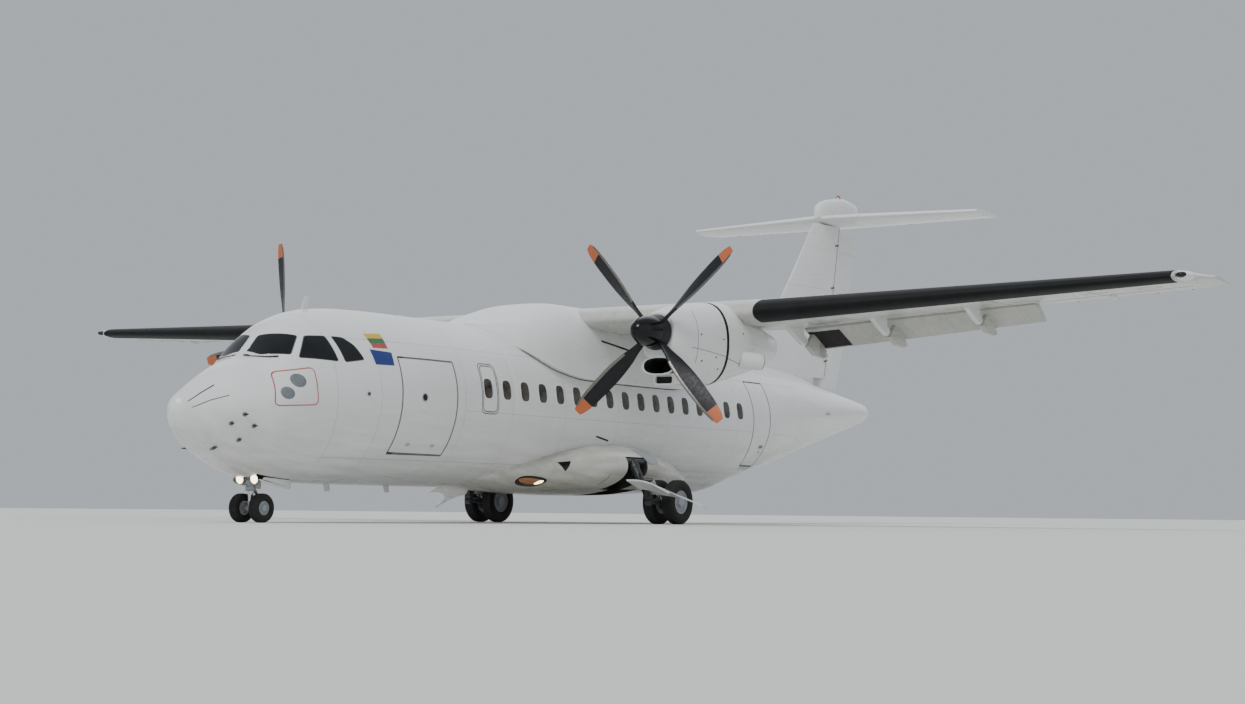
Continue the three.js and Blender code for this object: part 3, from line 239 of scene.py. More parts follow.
def merged(piece, sharp=35, distance=1e-5):
    bm = bmesh.new()
    bm.from_mesh(piece.data)
    bmesh.ops.remove_doubles(bm, verts=bm.verts, dist=distance)
    bm.to_mesh(piece.data)
    bm.free()
    soften(piece, sharp)
    return piece


def cut(piece, *tools, keep="DIFFERENCE", sharp=30):
    """Takes each tool's solid away from a piece, or keeps what they share, and deletes the tools."""
    for tool in tools:
        step = piece.modifiers.new("cut", "BOOLEAN")
        step.object, step.operation, step.solver = tool, keep, "EXACT"
    shown = piece.evaluated_get(bpy.context.evaluated_depsgraph_get())
    mesh = bpy.data.meshes.new_from_object(shown)
    piece.modifiers.clear()
    old, piece.data = piece.data, mesh
    mesh.name = piece.name
    bpy.data.meshes.remove(old)
    for tool in tools:
        bpy.data.objects.remove(tool)
    soften(piece, sharp)
    return piece


def joined(name, *pieces):
    """One object from several, each one's shape kept as it is."""
    for other in bpy.context.selected_objects:
        other.select_set(False)
    for piece in pieces:
        piece.select_set(True)
    bpy.context.view_layer.objects.active = pieces[0]
    bpy.ops.object.join()
    pieces[0].name = pieces[0].data.name = name
    return pieces[0]


def dress(piece, body, material, replaces=()):
    """Gives a piece its body and material, and hides the CAD nodes it stands for."""
    piece.data.materials.clear()
    piece.data.materials.append(material)
    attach(piece, body)
    if replaces:
        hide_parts(*replaces)
    return piece


def trim(name, pieces, material, body="airframe"):
    """Joins small pieces into one that stands for no CAD node."""
    return dress(joined(name, *pieces), body, material)


def lined(piece, rooms):
    """Gives a dull dark lining, painted shade of the recess, to the faces inside boxes of fore, rear, and lowest and
    highest y and z.
    """
    mesh = piece.data
    middles = np.empty(len(mesh.polygons) * 3)
    mesh.polygons.foreach_get("center", middles)
    aft, y, z = middles.reshape(-1, 3).T * np.array([[-1], [1], [1]]) + np.array([[LENGTH / 2], [0], [0]])
    within = np.zeros(len(aft), int)
    for fore, rear, y0, y1, z0, z1 in rooms:
        inside = (aft > fore - 1e-4) & (aft < rear + 1e-4) & (y > y0 - 1e-4) & (y < y1 + 1e-4)
        within |= inside & (z > z0 - 1e-4) & (z < z1 + 1e-4)
    mesh.materials.append(BAY_PRIMER_PAINTED_SHADE)
    mesh.polygons.foreach_set("material_index", within)


# Finishes
# Tan film, darker towards the bottom: part dirt streaks, part painted shade and painted ground reflection under the
# aircraft
DIRT_AND_PAINTED_SHADE = "#8f8d80"
SEAM_SHADOW = "#5c6064"
SEAM_HALF = 0.004


def linear(colour, alpha=1.0):
    value = int(colour.lstrip("#"), 16)
    srgb = [(value >> shift & 255) / 255 for shift in (16, 8, 0)]
    return [c / 12.92 if c <= 0.04045 else ((c + 0.055) / 1.055) ** 2.4 for c in srgb] + [alpha]


def node(tree, kind, inputs=None, **settings):
    made = tree.nodes.new("ShaderNode" + kind)
    for key, value in settings.items():
        setattr(made, key, value)
    for socket, value in (inputs or {}).items():
        if isinstance(value, bpy.types.NodeSocket):
            tree.links.new(value, made.inputs[socket])
        else:
            made.inputs[socket].default_value = value
    return made


def finish(name, colour, roughness, metallic=0.0, **sockets):
    material = bpy.data.materials.new(name)
    material.use_nodes = True
    tree = material.node_tree
    shader = tree.nodes["Principled BSDF"]
    shader.inputs["Base Color"].default_value = linear(colour)
    shader.inputs["Roughness"].default_value = roughness
    shader.inputs["Metallic"].default_value = metallic
    for socket, value in sockets.items():
        shader.inputs[socket.replace("_", " ")].default_value = value
    return material, tree, shader


def grain(tree, size, detail=4.0, stretch=(1, 1, 1)):
    """Noise whose blobs are as large as size, in metres, along each axis over the stretch."""
    place = node(tree, "TexCoord").outputs["Object"]
    scaled = node(tree, "Mapping", {"Vector": place, "Scale": [1 / (size * s) for s in stretch]})
    return node(tree, "TexNoise", {"Vector": scaled.outputs[0], "Scale": 1.0, "Detail": detail}).outputs[0]


def spread(tree, value, low, high):
    """Maps a noise's middle span to the range from low to high."""
    made = node(tree, "MapRange", {"Value": value, "From Min": 0.3, "From Max": 0.7, "To Min": low, "To Max": high})
    return made.outputs[0]


def maths(tree, operation, *values):
    return node(tree, "Math", dict(enumerate(values)), operation=operation).outputs[0]


def blend(tree, share, one, other):
    """A colour between two, each given as a hex code or as another node's colour."""
    one, other = (linear(colour) if isinstance(colour, str) else colour for colour in (one, other))
    return node(tree, "Mix", {"Factor": share, 6: one, 7: other}, data_type="RGBA").outputs[2]


def axes_of(tree):
    return node(tree, "SeparateXYZ", {0: node(tree, "TexCoord").outputs["Object"]}).outputs


def seams(tree, lines):
    """One where the surface lies on a seam: each line is an axis, a place on it and half its width, in metres,
    and may be kept between two places on another axis."""
    axes = axes_of(tree)
    total = None
    for axis, place, half, *kept in lines:
        hit = maths(tree, "COMPARE", axes["XYZ".index(axis)], place, half)
        for other, low, high in kept:
            inside = maths(tree, "COMPARE", axes["XYZ".index(other)], (low + high) / 2, (high - low) / 2)
            hit = maths(tree, "MULTIPLY", hit, inside)
        total = hit if total is None else maths(tree, "MAXIMUM", total, hit)
    return total


def enamel_skin(name, colour="#e4e5e4", shade="#c6c8c7", lines=(), shade_film_top=0.55, shade_film_deep=0.45):
    """Gloss polyurethane enamel sprayed over riveted sheet: an even sheen broken by faint seams, a little waviness
    between frames and a thin tan film in streaks drawn aft, full below its top and fading out over 1.5 m above it:
    part dirt, part painted shade and painted ground reflection on the lower surfaces."""
    material, tree, shader = finish(name, colour, 0.3, Coat_Weight=0.35, Coat_Roughness=0.12)
    base = blend(tree, spread(tree, grain(tree, 0.9, 3.0), 0.0, 0.16), colour, shade)
    # Streaks times a height mask: the film is darkest on the lower surfaces, painted shade as well as dirt
    streaks = spread(tree, grain(tree, 0.14, 5.0, (9, 1, 1)), 0.0, 1.0)
    height = axes_of(tree)[2]
    low = node(tree, "MapRange", {0: height, 1: shade_film_top, 2: shade_film_top + 1.5, 3: shade_film_deep, 4: 0.0}).outputs[0]
    base = blend(tree, maths(tree, "MULTIPLY", streaks, low), base, DIRT_AND_PAINTED_SHADE)
    bump = node(tree, "Bump", {"Strength": 0.12, "Distance": 0.02, "Height": grain(tree, 0.5, 2.0)}).outputs[0]
    if lines:
        seam = seams(tree, lines)
        base = blend(tree, maths(tree, "MULTIPLY", seam, 0.45), base, SEAM_SHADOW)
        sunk = maths(tree, "SUBTRACT", 1.0, seam)
        bump = node(tree, "Bump", {"Strength": 0.5, "Distance": 0.003, "Height": sunk, "Normal": bump}).outputs[0]
    tree.links.new(base, shader.inputs["Base Color"])
    tree.links.new(spread(tree, grain(tree, 0.25, 4.0, (4, 1, 1)), 0.24, 0.36), shader.inputs["Roughness"])
    tree.links.new(bump, shader.inputs["Normal"])
    return material


def speckled(name, colour, other, size, roughness, metallic=0.0, share=0.5, bump=0.2, depth=0.002, **sockets):
    """A finish of two close tones in blobs of one size, with the blobs a little raised."""
    material, tree, shader = finish(name, colour, roughness, metallic, **sockets)
    blobs = grain(tree, size)
    tone = spread(tree, blobs, 0.0, share)
    tree.links.new(blend(tree, tone, colour, other), shader.inputs["Base Color"])
    raised = node(tree, "Bump", {"Strength": bump, "Distance": depth, "Height": blobs})
    tree.links.new(raised.outputs[0], shader.inputs["Normal"])
    return material


# Sprayed gloss black over metal: a deep, nearly clean black with a wet highlight
BLACK_ENAMEL = speckled("black_enamel", "#040405", "#0a0b0c", 0.2, 0.16, bump=0.04,
                         Specular_IOR_Level=0.3, Coat_Weight=0.1)
# Moulded neoprene boots: matt black, chalked grey in patches by weather
BOOT_NEOPRENE = speckled("moulded_neoprene", "#08090a", "#17181a", 0.25, 0.6, share=0.6, bump=0.15,
                         Specular_IOR_Level=0.25)
# Buffed tread and sidewall rubber: matt, dusty
TYRE_RUBBER = speckled("vulcanised_rubber", "#161617", "#2a2927", 0.03, 0.85, share=0.7, bump=0.3)
# Satin enamel on forgings, with oily dirt in the hollows
GEAR_ENAMEL = speckled("satin_gear_enamel", "#a9adb0", "#5d5e5c", 0.05, 0.42, share=0.5, bump=0.15)
# Dark grey enamel on the main legs' forgings, with oil and brake dust
DARK_GEAR = speckled("dark_gear_enamel", "#3e4144", "#1c1d1e", 0.05, 0.42, share=0.7, bump=0.2)
# Cast wheels in satin grey enamel with brake dust
WHEEL_ENAMEL = speckled("satin_wheel_enamel", "#a3a8ac", "#63656a", 0.04, 0.4, share=0.4, bump=0.08)
# Ground and chromed steel of the oleo legs
CHROME_STEEL = speckled("chromed_steel", "#d3d6d8", "#aab0b4", 0.02, 0.16, 1.0, bump=0.03, depth=0.0005)
# Bare forged steel, dark with oil
DARK_STEEL = speckled("oily_forged_steel", "#2c2d2f", "#4a4744", 0.03, 0.45, 0.7, bump=0.25)
# Heat-stained nickel alloy of the exhaust pipe
EXHAUST_ALLOY = speckled("heat_stained_alloy", "#3a322c", "#1b1918", 0.08, 0.42, 0.9, share=0.8)
# Polished aluminium trims and hubs
BARE_ALUMINIUM = speckled("brushed_aluminium", "#b9bcbe", "#94989b", 0.02, 0.34, 1.0, bump=0.05)
# Stretched acrylic with the dark cabin behind it: black, glossy, a little blue
DARK_GLASS = speckled("tinted_acrylic", "#05070a", "#10151a", 0.35, 0.06, share=0.8, bump=0.02,
                      Specular_IOR_Level=0.35, Coat_Weight=0.15)
# Cabin panes with a pale blind showing behind the lower half
CABIN_GLASS = speckled("cabin_acrylic", "#14171b", "#5b5348", 0.2, 0.08, share=0.9, bump=0.02,
                       Specular_IOR_Level=0.35, Coat_Weight=0.15)
# Grey sealant and rubber strips in gaps
SEALANT = speckled("grey_sealant", "#4b4f52", "#6a6d6f", 0.05, 0.6)
# Zinc-chromate primer inside bays, dull with dirt, its dark grey also painted shade in the bays, wells, intake mouths
# and door gaps
BAY_PRIMER_PAINTED_SHADE = speckled("bay_primer_painted_shade", "#3c3d38", "#1d1e1c", 0.2, 0.75, share=0.9, bump=0.4, depth=0.01)
# Small fittings' paints: gloss enamels over primer, each a little faded
SIGNAL_RED = speckled("red_gloss_enamel", "#b0413c", "#c2665e", 0.06, 0.35)
BAND_YELLOW = speckled("yellow_gloss_enamel", "#d9b43a", "#c7a233", 0.08, 0.35)
BAND_GREEN = speckled("green_gloss_enamel", "#2f6b45", "#3b7a50", 0.08, 0.35)
BAND_BLUE = speckled("blue_gloss_enamel", "#1c3375", "#263f86", 0.08, 0.35)
# Satin grey enamel of service panels and grips
PALE_GREY = speckled("grey_satin_enamel", "#aeb2b4", "#93979a", 0.06, 0.5)
# Grey anodised plates about the static ports, darker than the enamel so that each one shows
STATIC_PLATE = speckled("grey_anodised_plate", "#777c80", "#5d6265", 0.06, 0.45)
# Dark elastic sealant drawn along seams and gaps
SEAM_SEALANT = speckled("dark_sealant", "#3a3d40", "#55585b", 0.04, 0.65)
# Soot baked on enamel by the exhaust: matt black with thinner edges
SOOTED_ENAMEL = speckled("sooted_enamel", "#121212", "#2d2b28", 0.12, 0.75, share=0.6, bump=0.1)
# Nickel strip over the blades' fore edges, bright where grit has polished it
NICKEL_STRIP = speckled("nickel_strip", "#8b8882", "#65635e", 0.03, 0.3, 1.0, bump=0.08)


def lamp_lens(name, colour, power):
    """A rippled glass that gives off a little or much of its own colour: a lamp's light, or a painted glow where the
    glass is not lit.
    """
    material, tree, shader = finish(name, colour, 0.08, Coat_Weight=1.0)
    shader.inputs["Emission Color"].default_value = linear(colour)
    shader.inputs["Emission Strength"].default_value = power
    ripples = node(tree, "Bump", {"Strength": 0.3, "Distance": 0.004, "Height": grain(tree, 0.02)})
    tree.links.new(ripples.outputs[0], shader.inputs["Normal"])
    return material


# Clear glass over a lit filament, nearly white
LIT_LAMP = lamp_lens("lit_lamp", "#ffe9b8", 6.0)
# Ribbed red glass of an unlit beacon, with a faint painted glow
RED_LENS_PAINTED_GLOW = lamp_lens("red_beacon_lens_painted_glow", "#8c1410", 0.15)
# Silvered reflector with a dim amber glow: painted light of the filament on the bowl
AMBER_REFLECTOR_PAINTED_GLOW = lamp_lens("amber_reflector_painted_glow", "#8a5424", 0.28)


# Fuselage: two half ovals that meet at the widest height
# aft, top, bottom, half width, widest height
FUSELAGE = [
    (0, 1.69, 1.61, 0.035, 1.65),
    (0.06, 1.845, 1.425, 0.14, 1.65),
    (0.2, 1.945, 1.278, 0.26, 1.652),
    (0.5, 2.11, 1.08, 0.48, 1.675),
    (1.0, 2.38, 0.85, 0.76, 1.73),
    (1.4, 2.56, 0.725, 0.935, 1.775),
    (1.8, 2.95, 0.66, 1.035, 1.835),
    (2.2, 3.215, 0.632, 1.11, 1.895),
    (2.8, 3.392, 0.617, 1.215, 1.965),
    (3.6, 3.462, 0.613, 1.335, 2.035),
    (4.4, 3.476, 0.613, 1.415, 2.045),
    (5.2, 3.477, 0.613, CABIN_RADIUS, 2.045),
    (14.4, 3.477, 0.613, CABIN_RADIUS, 2.045),
    (15.2, 3.477, 0.77, 1.41, 2.09),
    (16.2, 3.46, 0.985, 1.345, 2.18),
    (17.2, 3.415, 1.21, 1.22, 2.3),
    (18.3, 3.345, 1.46, 1.045, 2.4),
    (19.7, 3.15, 1.765, 0.74, 2.48),
    (21.1, 2.975, 2.075, 0.455, 2.54),
    (22.1, 2.86, 2.29, 0.28, 2.58),
    (22.56, 2.79, 2.43, 0.17, 2.61),
    (LENGTH, 2.7, 2.56, 0.06, 2.63),
]


def hull(aft, angle, grow=0.0):
    """Points of the fuselage: the half width times the cosine of the angle across, and the reach from the widest
    height to the top or the bottom times its sine up or down."""
    top, bottom, half, widest = np.moveaxis(smooth(FUSELAGE, aft), -1, 0)
    c, s = np.cos(angle), np.sin(angle)
    reach = np.where(s > 0, top - widest, widest - bottom) + grow
    return xyz(station(aft), c * (half + grow), widest + s * reach)


def hull_rings(afts, grow=0.0, around=96):
    angles = full_turn(around)
    return hull(np.asarray(afts)[:, None], angles[None], grow)


def hull_side(aft, z, side, grow=0.0):
    """The fuselage's side at a station and height: the half width times the root of one less the height squared."""
    top, bottom, half, widest = np.moveaxis(smooth(FUSELAGE, aft), -1, 0)
    reach = np.where(z > widest, top - widest, widest - bottom) + grow
    up = np.clip((z - widest) / reach, -1, 1)
    return xyz(station(aft), side * (half + grow) * np.sqrt(1 - up * up), z)


NOSE_ROWS = 5.3 * (1 - np.cos(np.linspace(0, np.pi / 2, 64)))
TAIL_ROWS = np.linspace(14.4, LENGTH, 60)
HULL_ROWS = np.concatenate([NOSE_ROWS, np.linspace(5.6, 14.1, 18), TAIL_ROWS])

# Doors: fore, rear, sill, head and side
DOORS = {
    "passenger_door": (14.93, 15.65, 1.2, 2.88, 1),
    "cargo_door": (3.76, 5.05, 1.13, 2.64, 1),
    "service_door": (14.96, 15.57, 1.4, 2.64, -1),
}
DOOR_GAP = 0.008
DOOR_THICK = 0.07
STAIR_PANEL_Y = 0.88
VESTIBULE_Y = 0.73
HOLD_Y = 0.85
CARGO_SWING = (1.305, 2.646, 1.53)
NOSE_BAY = (1.56, 2.29, -0.3, 0.3, 0.3, 1.24)
WHEEL_WELL = (10.04, 10.98, 0.26, 1.13, 0.2, 1.05)
LEG_SLOT = (9.76, 10.42, 1.1, 1.9, 0.2, 1.22)
FLAT_BACKS = {"passenger_door": VESTIBULE_Y, "cargo_door": HOLD_Y}


def mirrored(box, side):
    fore, rear, y0, y1, z0, z1 = box
    return (fore, rear, y0, y1, z0, z1) if side > 0 else (fore, rear, -y1, -y0, z0, z1)


WHEEL_ROOMS = [mirrored(room, side) for _, side in SIDES for room in (WHEEL_WELL, LEG_SLOT)]


def door_room(fore, rear, sill, head, side, inner=0.5):
    """The box of a doorway, a gap larger than its leaf all round, from an inner distance to outside the skin."""
    return mirrored((fore - DOOR_GAP, rear + DOOR_GAP, inner, 1.7, sill - DOOR_GAP, head + DOOR_GAP), side)


def doorway(name, door):
    """The room behind a door: flat at its back, or else following the skin behind the leaf."""
    if name in FLAT_BACKS:
        return block("doorway", *door_room(*door, FLAT_BACKS[name]))
    inner = loft("inner_hull", hull_rings(np.linspace(door[0] - 0.5, door[1] + 0.5, 12), -DOOR_THICK - DOOR_GAP))
    return cut(block("doorway", *door_room(*door)), inner)


def fuselage_lines():
    """Seams between the skin sheets: rings at the frames where sheets end, and runs along the stringers."""
    rings = [2.42, 3.3, 5.3, 6.62, 8.2, 9.9, 11.6, 13.2, 14.25, 15.9, 17.4, 19.0, 20.3, 21.6]
    lines = [("X", station(aft), SEAM_HALF) for aft in rings]
    runs = [(1.02, 2.4, 20.3), (1.86, 5.3, 17.4), (2.9, 2.42, 17.4)]
    lines += [("Z", z, SEAM_HALF, ("X", station(rear), station(fore))) for z, fore, rear in runs]
    return lines


SKIN = enamel_skin("white_gloss_enamel", lines=fuselage_lines())
PLAIN_SKIN = enamel_skin("white_gloss_enamel_plain")


def make_fuselage():
    body = loft("fuselage_skin", hull_rings(HULL_ROWS))
    tools = [doorway(name, door) for name, door in DOORS.items()]
    cut(body, *tools, *[block("room", *room) for room in [NOSE_BAY] + WHEEL_ROOMS])
    lengths = ("fuselage_nose", "fuselage_centre", "fuselage_rear", "tail_cone")
    dress(body, "airframe", SKIN, lengths)
    lined(body, [door_room(*door) for door in DOORS.values()] + [NOSE_BAY] + WHEEL_ROOMS)


def make_doors():
    for name, (fore, rear, sill, head, side) in DOORS.items():
        aft, z = np.meshgrid(np.linspace(fore, rear, 24), np.linspace(sill, head, 32), indexing="ij")
        outer = hull_side(aft, z, side)
        inner = hull_side(aft, z, side, -DOOR_THICK)
        if name == "passenger_door":
            inner = outer * (1, 0, 1) + (0, STAIR_PANEL_Y, 0)
        leaf = sheet_solid(name + "_leaf", outer, inner)
        if name == "passenger_door":
            leaf = joined(leaf.name, leaf, *treads(fore, rear))
        if name == "cargo_door":
            y, z, reach = CARGO_SWING
            cut(leaf, tube("swing", [(fore - 0.3, y, z), (rear + 0.3, y, z)], reach, 120), keep="INTERSECT")
        dress(leaf, name, PLAIN_SKIN, (name,))


TREAD_DEPTH, TREAD_THICK, TREAD_SIDE, TREAD_FIRST, TREAD_PITCH = 0.21, 0.026, 0.06, 1.33, 0.285
DOOR_DOWN = math.radians(118)


def treads(fore, rear):
    """Flat steps that lie level when the door is down, each a box turned with the closed door."""
    made = []
    for i in range(5):
        centre = Vector((station((fore + rear) / 2), STAIR_PANEL_Y, TREAD_FIRST + i * TREAD_PITCH))
        half = (rear - fore) / 2 - TREAD_SIDE
        box = [(x, y, z) for z in (-TREAD_THICK / 2, TREAD_THICK / 2) for x, y in (
            (-half, -TREAD_THICK), (half, -TREAD_THICK),
            (half, TREAD_DEPTH - TREAD_THICK), (-half, TREAD_DEPTH - TREAD_THICK))]
        turn = Matrix.Rotation(DOOR_DOWN, 3, "X")
        corners = np.array([list(turn @ Vector(corner) + centre) for corner in box])
        made.append(loft("tread", corners.reshape(2, 4, 3)))
    return made


make_fuselage()
make_doors()


# Cockpit glazing: panes cut from a layer just above the skin by pyramids out of the pilots' heads
EYE_POINT = (2.45, 0.0, 2.3)
PANES = {
    "front": [[1.746, 0.09, 2.88], [2.027, 0.613, 2.88], [1.787, 0.712, 2.57], [1.4, 0.09, 2.55]],
    "middle": [[2.124, 0.683, 2.88], [2.44, 0.807, 2.9], [2.506, 1.03, 2.51], [1.88, 0.8, 2.525]],
    "rear": [[2.56, 0.838, 2.9], [2.755, 0.89, 2.88], [2.9, 1.0, 2.78], [3.0, 1.1, 2.56], [2.64, 1.07, 2.51]],
}
PANE_SEAL = 0.018


def rounded(outline, radius, steps=5):
    """An outline with each corner turned to a curve: from one radius before it to one radius after, weighted by
    the squares of the way along."""
    points = np.asarray(outline, float)
    before = np.roll(points, 1, 0) - points
    after = np.roll(points, -1, 0) - points
    start = points + before * radius / np.linalg.norm(before, axis=1, keepdims=True)
    end = points + after * radius / np.linalg.norm(after, axis=1, keepdims=True)
    t = np.linspace(0, 1, steps)[None, :, None]
    curve = start[:, None] * (1 - t) ** 2 + points[:, None] * 2 * t * (1 - t) + end[:, None] * t * t
    return curve.reshape(-1, points.shape[1])


def grown(outline, by):
    """An outline moved away from its middle by a distance."""
    points = np.asarray(outline, float)
    out = points - points.mean(0)
    return points + out * by / np.linalg.norm(out, axis=1, keepdims=True)


def sight_cone(outline, side):
    eye = np.array(EYE_POINT)
    rings = []
    for scale in (0.5, 1.4):
        ring = eye + (np.asarray(outline) - eye) * scale
        rings.append(np.stack([station(ring[:, 0]), side * ring[:, 1], ring[:, 2]], -1))
    return loft("cone", rings)


def nose_layer(outer, inner):
    afts = np.linspace(1.0, 3.4, 70)
    shell = loft("nose_layer", hull_rings(afts, outer, 140))
    ends = np.linspace(0.9, 3.5, 70)
    return cut(shell, loft("inner", hull_rings(ends, inner, 140)))


def make_glazing():
    panes, seals = [], []
    for _, side in SIDES:
        for outline in PANES.values():
            panes.append(cut(nose_layer(0.002, -0.012), sight_cone(rounded(outline, 0.035), side), keep="INTERSECT"))
            wide = rounded(grown(outline, PANE_SEAL), 0.045)
            seals.append(cut(nose_layer(0.001, -0.02), sight_cone(wide, side), keep="INTERSECT"))
    dress(joined("cockpit_panes", *panes), "airframe", DARK_GLASS, ("cockpit_glazing",))
    trim("cockpit_seals", seals, SEALANT)


make_glazing()


# Cabin windows: seventeen a side, each a rounded pane in a thin frame
WINDOW_FIRST = 5.92
WINDOW_PITCH = 0.527
WINDOW_COUNT = 17
WINDOW_Z = 2.262
WINDOW_HALF = (0.117, 0.165)
WINDOW_FRAME = 0.024
WINDOW_POWER = 0.62


# Each section's rows: a share of the half size, a share of the frame's width and the level over the skin
PANE_SECTION = [(0.04, 0, -0.012), (1, 0, -0.012), (1, 0, 0.001), (0.96, 0, 0.002), (0.04, 0, 0.002)]
FRAME_SECTION = [(1, 0, -0.01), (1, 0, 0.0024), (1, 0.25, 0.004), (1, 0.8, 0.004), (1, 1, 0.0), (1, 1, -0.01)]


def window_rings(aft, side, section):
    """Rounded outlines bent to the skin: sine and cosine raised to a power, sized by each row of the section."""
    across, up = rounded_power(full_turn(36), WINDOW_POWER)
    rings = []
    for share, out, level in section:
        half_x, half_z = (half * share + WINDOW_FRAME * out for half in WINDOW_HALF)
        rings.append(hull_side(aft + half_x * across, WINDOW_Z + half_z * up, side, level))
    return rings


def make_cabin_windows():
    for name, side in SIDES:
        places = [WINDOW_FIRST + i * WINDOW_PITCH for i in range(WINDOW_COUNT)]
        panes = [loft("pane", window_rings(aft, side, PANE_SECTION)) for aft in places]
        frames = [closed_rings("frame", window_rings(aft, side, FRAME_SECTION)) for aft in places]
        trim(f"cabin_windows_{name}", panes, CABIN_GLASS)
        trim(f"cabin_window_frames_{name}", frames, PLAIN_SKIN)


make_cabin_windows()


# Wing: aerofoils whose half thickness is a root and a cubic of the way along, about a two-part camber line
BREAK_Y, TIP_Y = 4.85, 11.9
ROOT_LEAD, ROOT_CHORD = 8.97, 2.57
# off the middle, aft of the leading edge, chord, height of the leading edge, thickness ratio
WING = np.array([
    (0, ROOT_LEAD, ROOT_CHORD, 3.68, 0.18),
    (BREAK_Y, ROOT_LEAD, ROOT_CHORD, 3.68, 0.18),
    (TIP_Y, 9.69, 1.49, 3.985, 0.13),
    (HALF_SPAN, 10.48, 0.9, 4.01, 0.06),
])
WING_CAMBER = 0.028
INCIDENCE = math.tan(math.radians(2))
TRAIL_EDGE = 0.002


def half_thickness(x, ratio):
    x = np.clip(x, 0, 1)
    curve = 0.2969 * np.sqrt(x) - 0.126 * x - 0.3516 * x**2 + 0.2843 * x**3 - 0.1036 * x**4
    return 5 * ratio * curve + TRAIL_EDGE * x


def camber(x, most):
    fore, rear = most / 0.16, most / 0.36
    return np.where(x < 0.4, fore * (0.8 * x - x * x), rear * (0.2 + 0.8 * x - x * x))


def wing_values(y):
    return [np.interp(abs(y), WING[:, 0], WING[:, k]) for k in range(1, 5)]


def on_wing(side, y, x, height):
    """Points of the wing at shares of the chord along, and heights as shares of the chord over its line."""
    lead, chord, z, _ = wing_values(y)
    return xyz(station(lead + x * chord), side * y, z - x * chord * INCIDENCE + height * chord)


def upper(y, x):
    return camber(x, WING_CAMBER) + half_thickness(x, wing_values(y)[3])


def lower(y, x):
    return camber(x, WING_CAMBER) - half_thickness(x, wing_values(y)[3])


def chordwise(start, end, steps):
    """Shares of the chord, closer together at the start: the start plus the span times one less a cosine."""
    return start + (end - start) * (1 - np.cos(np.linspace(0, np.pi / 2, steps)))


def wing_rings(side, ys, x, grow=0.0):
    """Rings from the trailing edge over the top to the nose and back underneath, grown square to the chord."""
    y = np.asarray(ys, float)[:, None]
    extra = grow / wing_values(y)[1]
    top = on_wing(side, y, x[None, ::-1], upper(y, x[None, ::-1]) + extra)
    foot = on_wing(side, y, x[None, 1:], lower(y, x[None, 1:]) - extra)
    return np.concatenate([top, foot], 1)


CHORD_STEPS = chordwise(0, 1, 46)
TIP_ROWS = TIP_Y + (HALF_SPAN - TIP_Y) * np.linspace(0, 1, 10)[1:]
INNER_FLAP, OUTER_FLAP, AILERON = (1.66, 3.42), (4.7, 9.12), (9.32, 11.88)
FLAP_END_GAP = 0.032
MOVING_GAP = 0.008
SHROUD_END, SHROUD_THICK, FLAP_NOSE = 0.845, 0.009, 0.722
AILERON_HINGE = 0.76
FLAP_HINGE = (0.735, -0.125)
FLAP_DOWN = math.radians(30)


def across_break(span, gap_in=0.0, gap_out=0.0):
    start, end = span[0] - gap_in, span[1] + gap_out
    return np.array([start, BREAK_Y, end] if start < BREAK_Y < end else [start, end])


def flap_bay(side, span):
    y = across_break(span, MOVING_GAP, FLAP_END_GAP)[:, None]
    roof = np.array([0.706, 0.73, 0.79, SHROUD_END])[None]
    under = upper(y, roof) - SHROUD_THICK - np.array([0.012, 0, 0, 0])
    x = np.concatenate([[0.7, 0.7], roof[0], [SHROUD_END, 1.2, 1.2]])[None]
    rows = len(y)
    heights = np.concatenate([np.tile([-0.3, -0.01], (rows, 1)), under, np.tile([0.3, 0.3, -0.3], (rows, 1))], 1)
    return loft("flap_bay", on_wing(side, y, x, heights))


def nose_arc(y, hinge, grow, steps=14):
    """Half a circle about a hinge from over it round the front to below: its radius is the half thickness there."""
    angle = np.linspace(np.pi / 2, np.pi * 1.5, steps)[None]
    chord, ratio = wing_values(y)[1], wing_values(y)[3]
    radius = half_thickness(hinge, ratio) * 0.97 + grow / chord
    return hinge + radius * np.cos(angle), camber(hinge, WING_CAMBER) + radius * np.sin(angle)


def hinged_room(x, height, hinge):
    """A bay's outline at its two ends: round the nose's arc, and open above, below and behind the hinge."""
    one = np.ones((2, 1))
    xs = np.concatenate([1.3 * one, hinge * one, x, hinge * one, 1.3 * one], 1)
    return xs, np.concatenate([0.4 * one, 0.4 * one, height, -0.4 * one, -0.4 * one], 1)


def aileron_bay(side):
    y = np.array([AILERON[0] - MOVING_GAP, AILERON[1] + MOVING_GAP])[:, None]
    room = hinged_room(*nose_arc(y, AILERON_HINGE, MOVING_GAP), AILERON_HINGE)
    return loft("aileron_bay", on_wing(side, y, *room))


def wing_lines(side):
    """Seams at the ribs, and along the two spars of the straight middle part."""
    spars = [("X", station(ROOT_LEAD + share * ROOT_CHORD), SEAM_HALF, ("Y", -4.8, 4.8)) for share in (0.17, 0.62)]
    return [("Y", side * y, SEAM_HALF) for y in (1.9, 3.35, 4.83, 6.1, 7.45, 8.8, 9.22, 10.4, 11.88)] + spars


